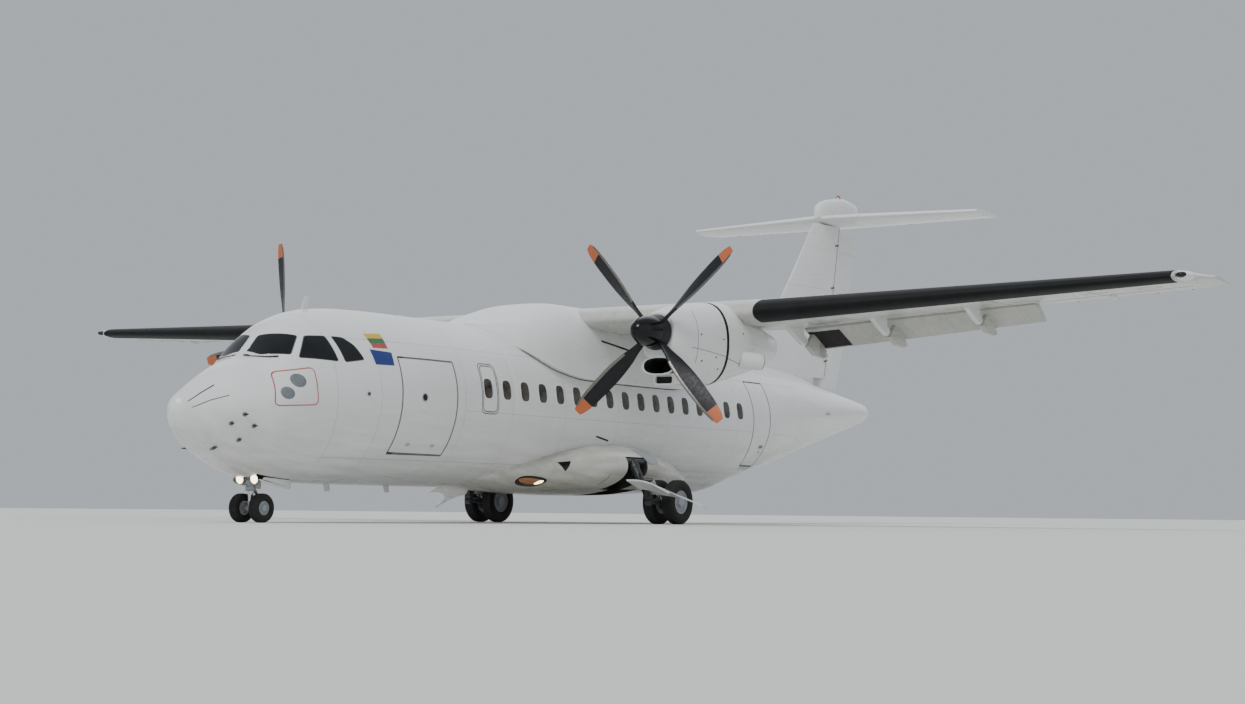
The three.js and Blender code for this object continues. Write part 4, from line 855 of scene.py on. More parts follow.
def make_wings():
    ys = np.concatenate([[0], np.linspace(BREAK_Y, TIP_Y, 13), TIP_ROWS])
    for name, side in SIDES:
        skin = loft(f"wing_skin_{name}", wing_rings(side, ys, CHORD_STEPS))
        cut(skin, flap_bay(side, INNER_FLAP), flap_bay(side, OUTER_FLAP), aileron_bay(side))
        # A film top of 3.3 m lays a faint tan darkening over the whole wing: painted shade and ground reflection as
        # well as dirt
        grey = enamel_skin(f"grey_gloss_enamel_{name}", "#c6c7c0", "#a2a39b", wing_lines(side),
                           shade_film_top=3.3, shade_film_deep=0.3)
        dress(skin, "airframe", grey, (f"wing_outer_{name}", "wing_centre") if side > 0 else (f"wing_outer_{name}",))
        y = np.linspace(AILERON[0], AILERON[1], 3)[:, None]
        x, height = nose_arc(y, AILERON_HINGE, 0)
        rear = chordwise(1, AILERON_HINGE + 0.03, 8)[None]
        xs = np.concatenate([np.repeat(rear, 3, 0), x, np.repeat(rear[:, ::-1], 3, 0)], 1)
        hs = np.concatenate([upper(y, rear), height, lower(y, rear[:, ::-1])], 1)
        aileron = loft(f"aileron_skin_{name}", on_wing(side, y, xs, hs), 50)
        dress(aileron, f"aileron_{name}", grey, (f"aileron_{name}",))
        make_flaps(name, side, grey)


# Flaps with their brackets: the fixed fore half of each bracket and the flap's own rear half
BRACKETS = {"inner": (2.56,), "outer": (4.765, 6.4, 8.15)}
BRACKET_HALF = 0.045
BRACKET_FORE = [(0.42, -0.03), (0.7, 0), (0.7, -0.085), (0.735, -0.099), (0.761, -0.125), (0.735, -0.151),
                (0.7, -0.155), (0.55, -0.1)]
BRACKET_REAR = [(0.79, -0.01), (0.769, -0.105), (0.7695, -0.125), (0.765, -0.148), (0.88, -0.14), (1.0, -0.085),
                (1.05, -0.035), (0.95, 0.002)]


def bracket(side, y, shape):
    """A blade-shaped plate: its outline drawn in towards its own middle at both faces."""
    outline = np.array([on_wing(side, np.array(y), x, h) for x, h in shape])
    middle = outline.mean(0)
    rings = []
    for share, across in ((0.9, -1), (0.97, -0.75), (1, -0.4), (1, 0.4), (0.97, 0.75), (0.9, 1)):
        ring = middle + (outline - middle) * share
        rings.append(ring * (1, 0, 1) + (0, side * y + across * BRACKET_HALF, 0))
    return loft("bracket", rings, 30)


def swung(piece, side, span):
    """Turns a retracted flap down about its hinge line."""
    y = np.array([span[0] if span[0] < 4 else BREAK_Y, span[1]])
    inner, outer = (Vector(point) for point in on_wing(side, y, *FLAP_HINGE))
    turn = Matrix.Rotation(-FLAP_DOWN, 4, (outer - inner).normalized() * side)
    piece.data.transform(Matrix.Translation(inner) @ turn @ Matrix.Translation(-inner))
    return piece


def flap_body(side, span):
    y = across_break(span)[:, None]
    clear = MOVING_GAP / wing_values(y)[1]
    back = np.array([1, 0.97, 0.93, 0.885])[None]
    lid = np.array([0.852, 0.83, 0.78, 0.74])[None]
    nose = np.array([FLAP_NOSE, FLAP_NOSE - 0.001, FLAP_NOSE + 0.002, FLAP_NOSE + 0.008])[None]
    foot = np.array([0.75, 0.8, 0.85, 0.89, 0.93, 0.97, 1])[None]
    hs = [upper(y, back) - np.array([0, 0, 0, 0.002]),
          upper(y, lid) - SHROUD_THICK - clear - np.array([0, 0, 0.002, 0.012]),
          lower(y, nose) + np.array([0.03, 0.02, 0.011, 0.004]), lower(y, foot)]
    xs = np.concatenate([back, lid, nose, foot], 1)
    return loft("flap_body", on_wing(side, y, np.repeat(xs, len(y), 0), np.concatenate(hs, 1)), 30)


def make_flaps(name, side, grey):
    for label, span in (("inner", INNER_FLAP), ("outer", OUTER_FLAP)):
        rear = [bracket(side, y, BRACKET_REAR) for y in BRACKETS[label]]
        flap = swung(joined(f"flap_skin_{label}_{name}", flap_body(side, span), *rear), side, span)
        dress(flap, f"flap_{label}_{name}", grey, (f"flap_{label}_{name}",))
    fore = [bracket(side, y, BRACKET_FORE) for row in BRACKETS.values() for y in row]
    trim(f"flap_brackets_{name}", fore, PLAIN_SKIN)


make_wings()


# De-icing boots: thin neoprene shells over the leading edges
BOOT_WIDE = 0.33
BOOT_THICK = 0.004


def make_wing_boots():
    for name, side in SIDES:
        y = np.array([4.76, BREAK_Y, 7.2, 9.6, 11.86])
        share = BOOT_WIDE / wing_values(y)[1]
        x = (share[:, None] * (1 - np.cos(np.linspace(0, np.pi / 2, 18)))[None])
        column = y[:, None]
        skins = []
        for grow in (BOOT_THICK, -0.006):
            extra = grow / wing_values(column)[1]
            top = on_wing(side, column, x[:, ::-1] - extra * (1 - x[:, ::-1] / share[:, None]),
                          upper(column, x[:, ::-1]) + extra)
            foot = on_wing(side, column, x[:, 1:] - extra * (1 - x[:, 1:] / share[:, None]),
                           lower(column, x[:, 1:]) - extra)
            skins.append(np.concatenate([top, foot], 1))
        dress(sheet_solid(f"wing_boot_{name}", *skins), "airframe", BOOT_NEOPRENE)


make_wing_boots()


# Fairings: the saddle under the wing and the belly with its gear pods
# aft, top, foot, half width
ROOT_FAIRING = [
    (6.9, 3.49, 3.3, 0.5),
    (7.4, 3.6, 3.0, 1.13),
    (8.1, 3.83, 2.7, 1.38),
    (8.9, 4.01, 2.58, 1.46),
    (10.6, 4.01, 2.56, 1.46),
    (11.9, 3.89, 2.57, 1.45),
    (12.9, 3.7, 2.8, 1.33),
    (13.9, 3.5, 3.3, 0.48),
]
# aft, half width, bottom, top, widest height
BELLY = [
    (6.45, 0.5, 0.64, 0.9, 0.76),
    (7.0, 0.85, 0.6, 1.06, 0.88),
    (7.7, 1.2, 0.565, 1.25, 0.96),
    (8.5, 1.5, 0.535, 1.48, 1.01),
    (9.3, 1.68, 0.515, 1.62, 1.04),
    (10.0, 1.74, 0.51, 1.63, 1.05),
    (10.7, 1.72, 0.52, 1.58, 1.04),
    (11.5, 1.56, 0.545, 1.43, 1.0),
    (12.5, 1.22, 0.58, 1.18, 0.9),
    (13.6, 0.6, 0.63, 0.9, 0.78),
]
# how far each section's corners are filled: one is a plain oval
SADDLE_POWER, BELLY_POWER, COWL_POWER, SCOOP_POWER = 0.62, 0.95, 0.9, 0.8


def make_fairings():
    aft = np.linspace(ROOT_FAIRING[0][0], ROOT_FAIRING[-1][0], 60)
    top, foot, half = np.moveaxis(smooth(ROOT_FAIRING, aft), -1, 0)[:, :, None]
    across, up = rounded_power(np.linspace(0, np.pi, 48)[None], SADDLE_POWER)
    saddle = loft("wing_root_saddle", xyz(station(aft[:, None]), across * half, foot + up * (top - foot)))
    dress(saddle, "airframe", PLAIN_SKIN, ("wing_root_fairing",))
    aft = np.linspace(BELLY[0][0], BELLY[-1][0], 70)
    half, bottom, top, widest = np.moveaxis(smooth(BELLY, aft), -1, 0)[:, :, None]
    across, up = rounded_power(full_turn(96)[None], BELLY_POWER)
    z = widest + up * np.where(up > 0, top - widest, widest - bottom)
    belly = loft("belly_pods", xyz(station(aft[:, None]), across * half, z))
    cut(belly, *[block("room", *room) for room in WHEEL_ROOMS])
    lines = [("X", station(aft), SEAM_HALF) for aft in (8.0, 9.5, 11.15, 12.4)]
    # The belly's tones are darker and warmer than the fuselage's white, and its film deeper: painted shade and
    # painted ground reflection under the aircraft
    skin = enamel_skin("belly_enamel_painted_shade", "#d7d6ce", "#b2b1a8", lines, shade_film_top=0.9, shade_film_deep=0.6)
    dress(belly, "airframe", skin, ("belly_fairing",))
    lined(belly, WHEEL_ROOMS)


make_fairings()


# Nacelles: rounded ovals in two lengths, the scoop under the chin, and the exhaust pipe
ENGINE_Y = 4.05
THRUST_Z = 3.19
SEAM_AFT = 8.5
# aft, top, bottom, half width, widest height
NACELLE = [
    (7.04, 3.52, 2.8, 0.33, 3.19),
    (7.2, 3.59, 2.56, 0.38, 3.17),
    (7.5, 3.67, 2.4, 0.44, 3.13),
    (7.9, 3.74, 2.34, 0.49, 3.08),
    (8.5, 3.81, 2.39, 0.505, 3.1),
    (8.94, 3.84, 2.48, 0.5, 3.13),
    (9.3, 3.68, 2.56, 0.48, 3.15),
    (10.0, 3.56, 2.73, 0.4, 3.18),
    (10.7, 3.42, 2.93, 0.24, 3.2),
]
INTAKE_Z = 2.64
# aft, half width, half height
SCOOP = [(7.08, 0.33, 0.15), (7.35, 0.35, 0.175), (7.9, 0.33, 0.16), (8.5, 0.2, 0.06)]
MOUTH_HALF = (0.285, 0.13)
PIPE = [(9.05, 0.38, 2.87), (9.2, 0.478, 2.854), (9.42, 0.62, 2.83)]


def oval_rings(side, rows, power, around=72):
    """Ovals about an engine's middle from rows of aft, top, bottom, half width and widest height."""
    aft, top, bottom, half, widest = np.array(rows).T[:, :, None]
    across, up = rounded_power(full_turn(around)[None], power)
    z = widest + up * np.where(up > 0, top - widest, widest - bottom)
    return xyz(station(aft), side * ENGINE_Y + across * half, z)


def between_rows(table, fore, rear, steps):
    aft = np.linspace(fore, rear, steps)
    return np.column_stack([aft, smooth(table, aft)])


def make_nacelles():
    for name, side in SIDES:
        rows = between_rows(NACELLE, 7.04, SEAM_AFT - 0.002, 26)
        fore = loft(f"engine_cowl_{name}", oval_rings(side, rows, COWL_POWER))
        scoop = [(aft, INTAKE_Z + tall, INTAKE_Z - tall, half, INTAKE_Z) for aft, half, tall in
                 between_rows(SCOOP, 7.08, 8.49, 24)]
        chin = loft("chin", oval_rings(side, scoop, SCOOP_POWER))
        cut(fore, chin, keep="UNION")
        mouth = [(aft, INTAKE_Z + MOUTH_HALF[1], INTAKE_Z - MOUTH_HALF[1], MOUTH_HALF[0], INTAKE_Z)
                 for aft in (7.0, 7.7)]
        shaft = turned("shaft_room", [(0, 0), (0.098, 0), (0.098, 0.51), (0, 0.51)],
                       (station(7.31), side * ENGINE_Y, THRUST_Z), (1, 0, 0))
        cut(fore, loft("mouth", oval_rings(side, mouth, SCOOP_POWER)), shaft)
        dress(fore, "airframe", PLAIN_SKIN, (f"nacelle_front_{name}", f"engine_{name}"))
        half, tall = MOUTH_HALF
        lined(fore, [(7.082, 7.8, side * ENGINE_Y - half, side * ENGINE_Y + half, INTAKE_Z - tall, INTAKE_Z + tall)])
        rows = between_rows(NACELLE, SEAM_AFT + 0.002, 10.7, 34)
        rear = loft(f"nacelle_tail_{name}", oval_rings(side, rows, COWL_POWER))
        dress(rear, "airframe", PLAIN_SKIN, (f"nacelle_rear_{name}",))
        make_exhaust(name, side)


def make_exhaust(name, side):
    """The pipe's wall: an outer and an inner skin round one line, closed at both ends."""
    path = np.array([(aft, side * (ENGINE_Y + out), z) for aft, out, z in PIPE])
    last = path[2] - path[1]
    fairing = tube("fairing", path, [0.15, 0.15, 0.142], 40)
    cut(fairing, tube("bore", [path[1] - last * 0.3, path[1] + last * 1.4], 0.135, 40))
    dress(fairing, "airframe", PLAIN_SKIN).name = f"exhaust_fairing_{name}"
    pipe = tube("pipe", [path[1] - last * 0.29, path[1] + last * 1.06], 0.1345, 40)
    cut(pipe, tube("bore", [path[1] - last * 0.25, path[1] + last * 1.4], 0.128, 40))
    dress(pipe, "airframe", EXHAUST_ALLOY).name = f"exhaust_pipe_{name}"


make_nacelles()


# Propellers: four blades whose chord, thickness and twist follow the radius, on a hub behind the spinner
PROP_AFT = 6.9
BLADE_ANGLES = {"port": 41, "starboard": 5}
# distance from the axis, chord, thickness, twist in degrees from the disc
BLADE = [
    (0.2, 0.11, 0.1, 60),
    (0.42, 0.15, 0.07, 52),
    (0.7, 0.25, 0.046, 42),
    (1.1, 0.3, 0.03, 31),
    (1.55, 0.28, 0.02, 24),
    (1.85, 0.22, 0.014, 20),
    (1.98, 0.13, 0.008, 18),
]
BLADE_TIP = 1.72


def blade_finish():
    """Carbon and glass cloth in worn dark paint, its outermost part painted orange so that crews see it turn."""
    material, tree, shader = finish("painted_composite", "#121316", 0.42, Specular_IOR_Level=0.3)
    axes = axes_of(tree)
    across = [maths(tree, "SUBTRACT", axes[1], side * ENGINE_Y) for side in (1, -1)]
    near = maths(tree, "MINIMUM", *[maths(tree, "ABSOLUTE", value) for value in across])
    up = maths(tree, "SUBTRACT", axes[2], THRUST_Z)
    flat = node(tree, "CombineXYZ", {0: near, 1: up}).outputs[0]
    radius = node(tree, "VectorMath", {0: flat}, operation="LENGTH").outputs[1]
    tip = maths(tree, "GREATER_THAN", radius, BLADE_TIP)
    worn = spread(tree, grain(tree, 0.08, 4.0), 0, 0.35)
    colour = blend(tree, tip, blend(tree, worn, "#121316", "#2c2e31"), "#b9663f")
    tree.links.new(colour, shader.inputs["Base Color"])
    tree.links.new(spread(tree, grain(tree, 0.05), 0.3, 0.5), shader.inputs["Roughness"])
    return material


def blade_skin(radius, angle, level=0.0):
    """Sections of a blade: half the chord times the cosine along, half the thickness times the sine across, fuller
    towards the fore edge, each turned by its own twist."""
    chord, thick, twist = np.moveaxis(smooth(BLADE, radius), -1, 0)[:, :, None]
    twist = np.radians(twist)
    along = 0.5 * np.cos(angle) * (chord + level)
    out = 0.5 * np.sin(angle) * (thick + level) * (0.85 + 0.15 * np.cos(angle))
    x = along * np.sin(twist) + out * np.cos(twist)
    return xyz(x, along * np.cos(twist) - out * np.sin(twist), radius[:, None])


def four_about(make, name, side):
    """Four pieces round a propeller's axis, a quarter turn apart, from that side's own angle."""
    centre = (station(PROP_AFT), side * ENGINE_Y, THRUST_Z)
    made = []
    for quarter in range(4):
        piece = make()
        turn = Matrix.Rotation(math.radians(BLADE_ANGLES[name] - 90 + 90 * quarter), 4, "X")
        piece.data.transform(Matrix.Translation(centre) @ turn)
        made.append(piece)
    return made


def make_propellers():
    painted = blade_finish()
    rings = blade_skin(np.concatenate([np.linspace(0.2, 1.85, 22), [1.9, 1.94, 1.965, 1.98]]), full_turn(24)[None])
    for name, side in SIDES:
        centre = (station(PROP_AFT), side * ENGINE_Y, THRUST_Z)
        blades = four_about(lambda: loft("blade", rings), name, side)
        hub = turned("hub", [(0, 0.105), (0.262, 0.105), (0.28, 0), (0.3, -0.105), (0.09, -0.105), (0.09, -0.6),
                             (0, -0.6)], centre, (1, 0, 0), 64)
        dress(joined(f"propeller_blades_{name}", hub, *blades), f"propeller_{name}", painted,
              (f"propeller_{name}",))
        share = np.linspace(0, 1, 30)
        profile = [(0.261 * math.sqrt(1 - (1 - s) ** 1.7), 0.57 - 0.4646 * s) for s in share]
        profile = [(0, profile[0][1])] + profile[1:] + [(0, 0.1054)]
        spinner = turned(f"spinner_shell_{name}", profile, centre, (1, 0, 0), 64)
        dress(spinner, f"propeller_{name}", BLACK_ENAMEL, (f"spinner_{name}",))


make_propellers()


# Fin, rudder, tailplane, elevators and cap
FIN_FOOT = 3.3
FILLET_END = (4.89, 18.47)
FIN_TOP = (6.87, 20.12)
# height, aft of the leading edge
FIN = [(FIN_FOOT, 14.0), (3.5, 14.58), (3.73, 15.71), (3.97, 16.88), (4.24, 17.55), (4.56, 18.06),
       FILLET_END, FIN_TOP]
FIN_SLOPE = (FIN_TOP[1] - FILLET_END[1]) / (FIN_TOP[0] - FILLET_END[0])
HINGE_FOOT = 20.44
RUDDER_LEAN = 0.2381
RUDDER_CLEAR = 0.012
RUDDER = np.array([(3.08, 21.2), (3.69, 21.455), (5.4, 21.935), (6.72, 22.33)])


def fin_half(z):
    return 0.165 - 0.06 * (z - FIN_FOOT) / (FIN_TOP[0] - FIN_FOOT)


def rudder_hinge(z):
    return HINGE_FOOT + (z - FIN_FOOT) * RUDDER_LEAN


def leaning_arc(z, radius, reach, steps):
    angle = np.linspace(reach, -reach, steps)[None]
    x = station(rudder_hinge(z)) + radius * np.cos(angle) * math.hypot(1, RUDDER_LEAN)
    return xyz(x, radius * np.sin(angle), z)


def make_fin():
    z = np.concatenate([np.linspace(FIN_FOOT, FILLET_END[0], 26), np.linspace(5.0, FIN_TOP[0], 12)])[:, None]
    lead = smooth(FIN, z[:, 0])
    cove = leaning_arc(z, fin_half(z), np.pi / 3, 10)
    end = LENGTH / 2 - cove[:, :1, 0]
    share = chordwise(0, 1, 30)[None]
    aft = lead + (end - lead) * share
    true_lead = FILLET_END[1] - (FILLET_END[0] - z) * FIN_SLOPE
    along = np.maximum(0, (aft - true_lead) / (rudder_hinge(z) - true_lead))
    body = fin_half(z) * np.sin(np.minimum(1, along * 1.25) * np.pi / 2) ** 0.7
    fillet = 0.045 * np.minimum(1, (aft - lead) / 0.4) ** 0.5
    half = np.maximum(np.maximum(body, fillet), 0.008)
    left = xyz(station(aft), half, z)
    right = xyz(station(aft), -half, z)[:, ::-1]
    lines = [("Z", level, SEAM_HALF) for level in (4.4, 5.35, 6.3)]
    skin = enamel_skin("fin_gloss_enamel", lines=lines)
    dress(loft("fin_skin", np.concatenate([left, cove, right], 1)), "airframe", skin, ("fin",))
    z = np.linspace(RUDDER[0, 0], RUDDER[-1, 0], 20)[:, None]
    trail = np.interp(z, RUDDER[:, 0], RUDDER[:, 1])
    nose = leaning_arc(z, fin_half(z) - RUDDER_CLEAR, np.pi / 2, 20)
    ends = [xyz(station(trail), side * 0.008, z) for side in (1, -1)]
    body = loft("rudder_skin", np.concatenate([ends[0], nose, ends[1]], 1))
    cut(body, loft("tail_room", hull_rings(TAIL_ROWS, 0.012)))
    dress(body, "rudder", skin, ("rudder",))


TAIL_HALF_SPAN = 3.655
TAIL_Z = 7.0
TAIL_LEAD, TAIL_SWEEP = 20.33, 0.62
TAIL_CHORD, TAIL_TAPER = 1.96, 0.74
ELEVATOR_HINGE = 0.66
ELEVATOR = (0.43, 3.56)
CAP = [(20.24, 7.2, 0.04), (20.35, 7.33, 0.1), (20.6, 7.44, 0.15), (21.0, 7.525, 0.17), (21.5, 7.596, 0.15),
       (22.0, 7.56, 0.095), (22.29, 7.5, 0.03)]


def tail_chord(y):
    return TAIL_CHORD - TAIL_TAPER * abs(y) / TAIL_HALF_SPAN


def on_tail(y, x, height):
    chord = tail_chord(y)
    lead = TAIL_LEAD + TAIL_SWEEP * abs(y) / TAIL_HALF_SPAN
    return xyz(station(lead + x * chord), y, TAIL_Z + height * chord)


def tail_ratio(y):
    return 0.12 - 0.01 * abs(y) / TAIL_HALF_SPAN


def tail_arc(y, grow, steps=14):
    angle = np.linspace(np.pi / 2, np.pi * 1.5, steps)[None]
    radius = half_thickness(ELEVATOR_HINGE, tail_ratio(y)) * 0.97 + grow / tail_chord(y)
    return ELEVATOR_HINGE + radius * np.cos(angle), radius * np.sin(angle)


def make_tailplane():
    y = np.array([-TAIL_HALF_SPAN, 0, TAIL_HALF_SPAN])[:, None]
    x = CHORD_STEPS[None]
    top = on_tail(y, x[:, ::-1], half_thickness(x[:, ::-1], tail_ratio(y)))
    foot = on_tail(y, x[:, 1:], -half_thickness(x[:, 1:], tail_ratio(y)))
    plane = loft("tailplane_skin", np.concatenate([top, foot], 1))
    bays = []
    for _, side in SIDES:
        ends = side * np.array([ELEVATOR[0] - MOVING_GAP, ELEVATOR[1] + MOVING_GAP])[:, None]
        room = hinged_room(*tail_arc(ends, MOVING_GAP), ELEVATOR_HINGE)
        bays.append(loft("elevator_bay", on_tail(ends, *room)))
    cut(plane, *bays)
    dress(plane, "airframe", PLAIN_SKIN, ("tailplane",))
    for name, side in SIDES:
        ends = side * np.array(ELEVATOR)[:, None]
        xs, hs = tail_arc(ends, 0)
        rear = chordwise(1, ELEVATOR_HINGE + 0.03, 8)[None]
        xs = np.concatenate([np.repeat(rear, 2, 0), xs, np.repeat(rear[:, ::-1], 2, 0)], 1)
        hs = np.concatenate([half_thickness(rear, tail_ratio(ends)), hs,
                             -half_thickness(rear[:, ::-1], tail_ratio(ends))], 1)
        elevator = loft(f"elevator_skin_{name}", on_tail(ends, xs, hs), 50)
        dress(elevator, f"elevator_{name}", PLAIN_SKIN, (f"elevator_{name}",))
    aft = np.linspace(CAP[0][0], CAP[-1][0], 40)
    top, half = np.moveaxis(smooth(CAP, aft), -1, 0)[:, :, None]
    across, up = rounded_power(full_turn(48)[None], 0.8)
    widest = TAIL_Z + 0.12
    z = widest + up * np.where(up > 0, top - widest, 0.16)
    cap = loft("fin_cap_shell", xyz(station(aft[:, None]), across * half, z))
    cut(cap, block("below", 19, 23, -1, 1, 6, TAIL_Z))
    dress(cap, "airframe", PLAIN_SKIN, ("fin_cap",))


make_fin()
make_tailplane()


# Wheels: tyres with shouldered treads and grooves, dished hubs with bolts, on one axle
# share of the tyre's height above the rim, share of its half width off the middle
TYRE_HALF = [
    (0.0, 0.70), (0.05, 0.76), (0.16, 0.88), (0.32, 0.97), (0.5, 1.0), (0.66, 0.985), (0.8, 0.93), (0.9, 0.84),
    (0.965, 0.7), (0.99, 0.6), (0.995, 0.5),
]
GROOVES = (0.34, 0.12)
GROOVE_HALF = 0.022
MAIN_WHEEL = {"radius": 0.4065, "rim": 0.215, "width": 0.224, "spacing": 0.21, "axle": 0.045, "bolts": 10}
NOSE_WHEEL = {"radius": 0.225, "rim": 0.11, "width": 0.165, "spacing": 0.205, "axle": 0.028, "bolts": 6}
# share of the rim's radius, share of the hub's half width: from the inner face round the rim to the cap
HUB = [
    (0, -0.5), (0.7, -0.5), (0.76, -0.7), (0.8, -0.98), (0.84, -1.0), (0.995, -1.0), (0.995, 1.0), (0.97, 1.04),
    (0.93, 1.04), (0.9, 1.0), (0.88, 0.85), (0.84, 0.6), (0.78, 0.5), (0.5, 0.5), (0.44, 0.56), (0.41, 0.7),
    (0.4, 1.08), (0.385, 1.14), (0.35, 1.16), (0, 1.16),
]


def tyre(centre, wheel):
    """Half of the outline and its mirror image, with grooves sunk in the tread."""
    tall, half = wheel["radius"] - wheel["rim"], wheel["width"] / 2
    side = [(wheel["rim"] + tall * up, half * out) for up, out in TYRE_HALF]
    tread = []
    for place in GROOVES:
        for out, deep in ((1, 0), (0.9, 0.008), (-0.9, 0.008), (-1, 0)):
            tread.append((wheel["radius"] - deep * wheel["radius"] / 0.4, half * (place + out * GROOVE_HALF)))
    one = side + tread
    outline = one + [(r, -along) for r, along in one[::-1]]
    outline.append(outline[0])
    return turned("tyre", outline, centre, sides=72)


def hub(centre, wheel, side):
    half = 0.36 * wheel["width"]
    rim = wheel["rim"]
    pieces = [turned("hub", [(r * rim, side * along * half) for r, along in HUB], centre, sides=64)]
    for i in range(wheel["bolts"]):
        angle = 2 * math.pi * i / wheel["bolts"]
        place = Vector(centre) + Vector((math.cos(angle), 0, math.sin(angle))) * rim * 0.66
        start = side * half * 0.46
        pieces.append(turned("bolt", [(0, start), (rim * 0.06, start), (rim * 0.06, start + side * rim * 0.05),
                                      (rim * 0.035, start + side * rim * 0.07), (0, start + side * rim * 0.07)],
                             place, sides=6, sharp=25))
    return pieces


def add_wheels(name, body, wheel, aft, y, z, nodes):
    hubs = []
    for label, side in (("a", 1), ("b", -1)):
        centre = (station(aft), y + side * wheel["spacing"], z)
        piece = dress(tyre(centre, wheel), body, TYRE_RUBBER, (f"{nodes}_tyre_{label}",))
        piece.name = f"{name}_tyre_{label}"
        hubs += hub(centre, wheel, side)
    reach = wheel["spacing"]
    hubs.append(turned("axle", [(0, -reach), (wheel["axle"], -reach), (wheel["axle"], reach), (0, reach)],
                       (station(aft), y, z), sides=32))
    dress(joined(f"{name}_hubs", *hubs), body, WHEEL_ENAMEL, (f"{nodes}_hubs",))


# Nose gear
NOSE_AXLE = (1.765, 0.225)
NOSE_LEG = 1.74
STEER_TOP = 0.56
# The taxi lamps look forward and a little down
LAMP_AXIS = (0.989, 0, -0.15)


def rod(start, end, radius, end_radius=None, sides=24):
    return tube("rod", [start, end], [radius, radius if end_radius is None else end_radius], sides)


def collared(line, rings, sides=28):
    """A round leg along one line: each ring gives the share of the way along and the radius there."""
    start, end = np.array(line[0]), np.array(line[1])
    places = [start + (end - start) * share for share, _ in rings]
    return tube("leg", places, [radius for _, radius in rings], sides, 30)


def make_nose_gear():
    reach = 0.2996
    leg = collared([(NOSE_LEG, 0, 1.2396), (NOSE_LEG, 0, STEER_TOP + 0.008)], [
        (0, 0.074), (0.5, 0.07), (0.52, 0.082), (0.58, 0.082), (0.6, 0.066), (0.86, 0.062), (0.87, 0.078),
        (0.95, 0.078), (0.96, 0.064), (1, 0.064)])
    bars = [
        block("trunnion", NOSE_LEG - 0.04, NOSE_LEG + 0.04, -reach, reach, 1.08, 1.16),
        rod((NOSE_LEG, 0, 0.9), (2.23, 0, 1.18), 0.032, 0.026),
        rod((2.2, -reach, 1.17), (2.2, reach, 1.17), 0.038),
        rod((NOSE_LEG - 0.02, -0.15, 0.68), (NOSE_LEG - 0.02, 0.15, 0.68), 0.022),
        rod((NOSE_LEG + 0.05, 0.055, 1.05), (NOSE_LEG + 0.05, 0.055, 0.6), 0.012),
        rod((NOSE_LEG + 0.05, -0.055, 1.05), (NOSE_LEG + 0.05, -0.055, 0.6), 0.012),
        rod((NOSE_LEG, -0.11, 0.61), (NOSE_LEG, 0.11, 0.61), 0.034),
    ]
    dress(joined("nose_leg_forging", leg, *bars), "airframe", GEAR_ENAMEL, ("nose_leg",))
    aft, z = NOSE_AXLE
    piston = collared([(NOSE_LEG, 0, STEER_TOP - 0.07), (NOSE_LEG, 0, z + 0.02)], [(0, 0.048), (1, 0.046)])
    dress(piston, "steered_fork", CHROME_STEEL).name = "nose_piston"
    collar = collared([(NOSE_LEG, 0, STEER_TOP), (NOSE_LEG, 0, STEER_TOP - 0.075)], [
        (0, 0.076), (0.1, 0.082), (0.9, 0.082), (1, 0.07)])
    sleeve = collared([(aft, -0.075, z), (aft, 0.075, z)], [
        (0, 0.05), (0.12, 0.058), (0.3, 0.058), (0.32, 0.064), (0.68, 0.064), (0.7, 0.058), (0.88, 0.058), (1, 0.05)])
    heel = rod((NOSE_LEG, 0, z + 0.11), (aft, 0, z), 0.052, 0.058)
    links = []
    for y in (-0.026, 0.026):
        knee = (1.91, y * 0.4, 0.405)
        links += [rod((1.8, y, 0.53), knee, 0.014), rod(knee, (1.79, y, 0.27), 0.014)]
    links.append(rod((1.91, -0.03, 0.405), (1.91, 0.03, 0.405), 0.018))
    links.append(rod((1.8, -0.04, 0.53), (1.8, 0.04, 0.53), 0.016))
    links.append(rod((1.772, 0, 0.53), (1.8, 0, 0.53), 0.02))
    fork = joined("nose_fork_forging", collar, sleeve, heel, *links)
    dress(fork, "steered_fork", GEAR_ENAMEL, ("nose_fork",))
    add_wheels("nose_wheels", "nose_wheels", NOSE_WHEEL, aft, 0, z, "nose_wheel")
    for name, side in SIDES:
        make_nose_door(name, side)
        centre = (station(NOSE_LEG - 0.0425), side * 0.15, 0.676)
        shell = turned("shell", [(0, -0.001), (0.047, 0), (0.066, 0.018), (0.078, 0.048), (0.078, 0.0525),
                                 (0.074, 0.0525), (0.07, 0.046), (0, 0.04)], centre, LAMP_AXIS, 40)
        dress(shell, "airframe", BARE_ALUMINIUM).name = f"taxi_lamp_shell_{name}"
        lens = turned("lens", [(0, 0.0405), (0.069, 0.0465), (0.0695, 0.05), (0.05, 0.0555), (0.025, 0.058),
                               (0, 0.0588)], centre, LAMP_AXIS, 40)
        dress(lens, "airframe", LIT_LAMP, (f"taxi_lamp_{name}",)).name = f"taxi_lamp_lens_{name}"


def make_nose_door(name, side):
    """A flat panel beside the bay with a pressed rim: the outline's own shape drawn in on its inner face."""
    corners = np.array([(1.67, 0.612), (2.3, 0.512), (2.3, 0.66), (1.67, 0.7)])
    aft, z = rounded(corners, 0.05).T
    rings = []
    for share, y in ((0.985, 0.323), (1, 0.319), (1, 0.303), (0.985, 0.301)):
        a = corners[:, 0].mean() + (aft - corners[:, 0].mean()) * share
        h = corners[:, 1].mean() + (z - corners[:, 1].mean()) * share
        rings.append(np.stack([station(a), np.full_like(a, side * y), h], -1))
    door = loft(f"nose_door_panel_{name}", rings, 50)
    dress(door, "airframe", PLAIN_SKIN, (f"nose_gear_door_{name}",))


make_nose_gear()


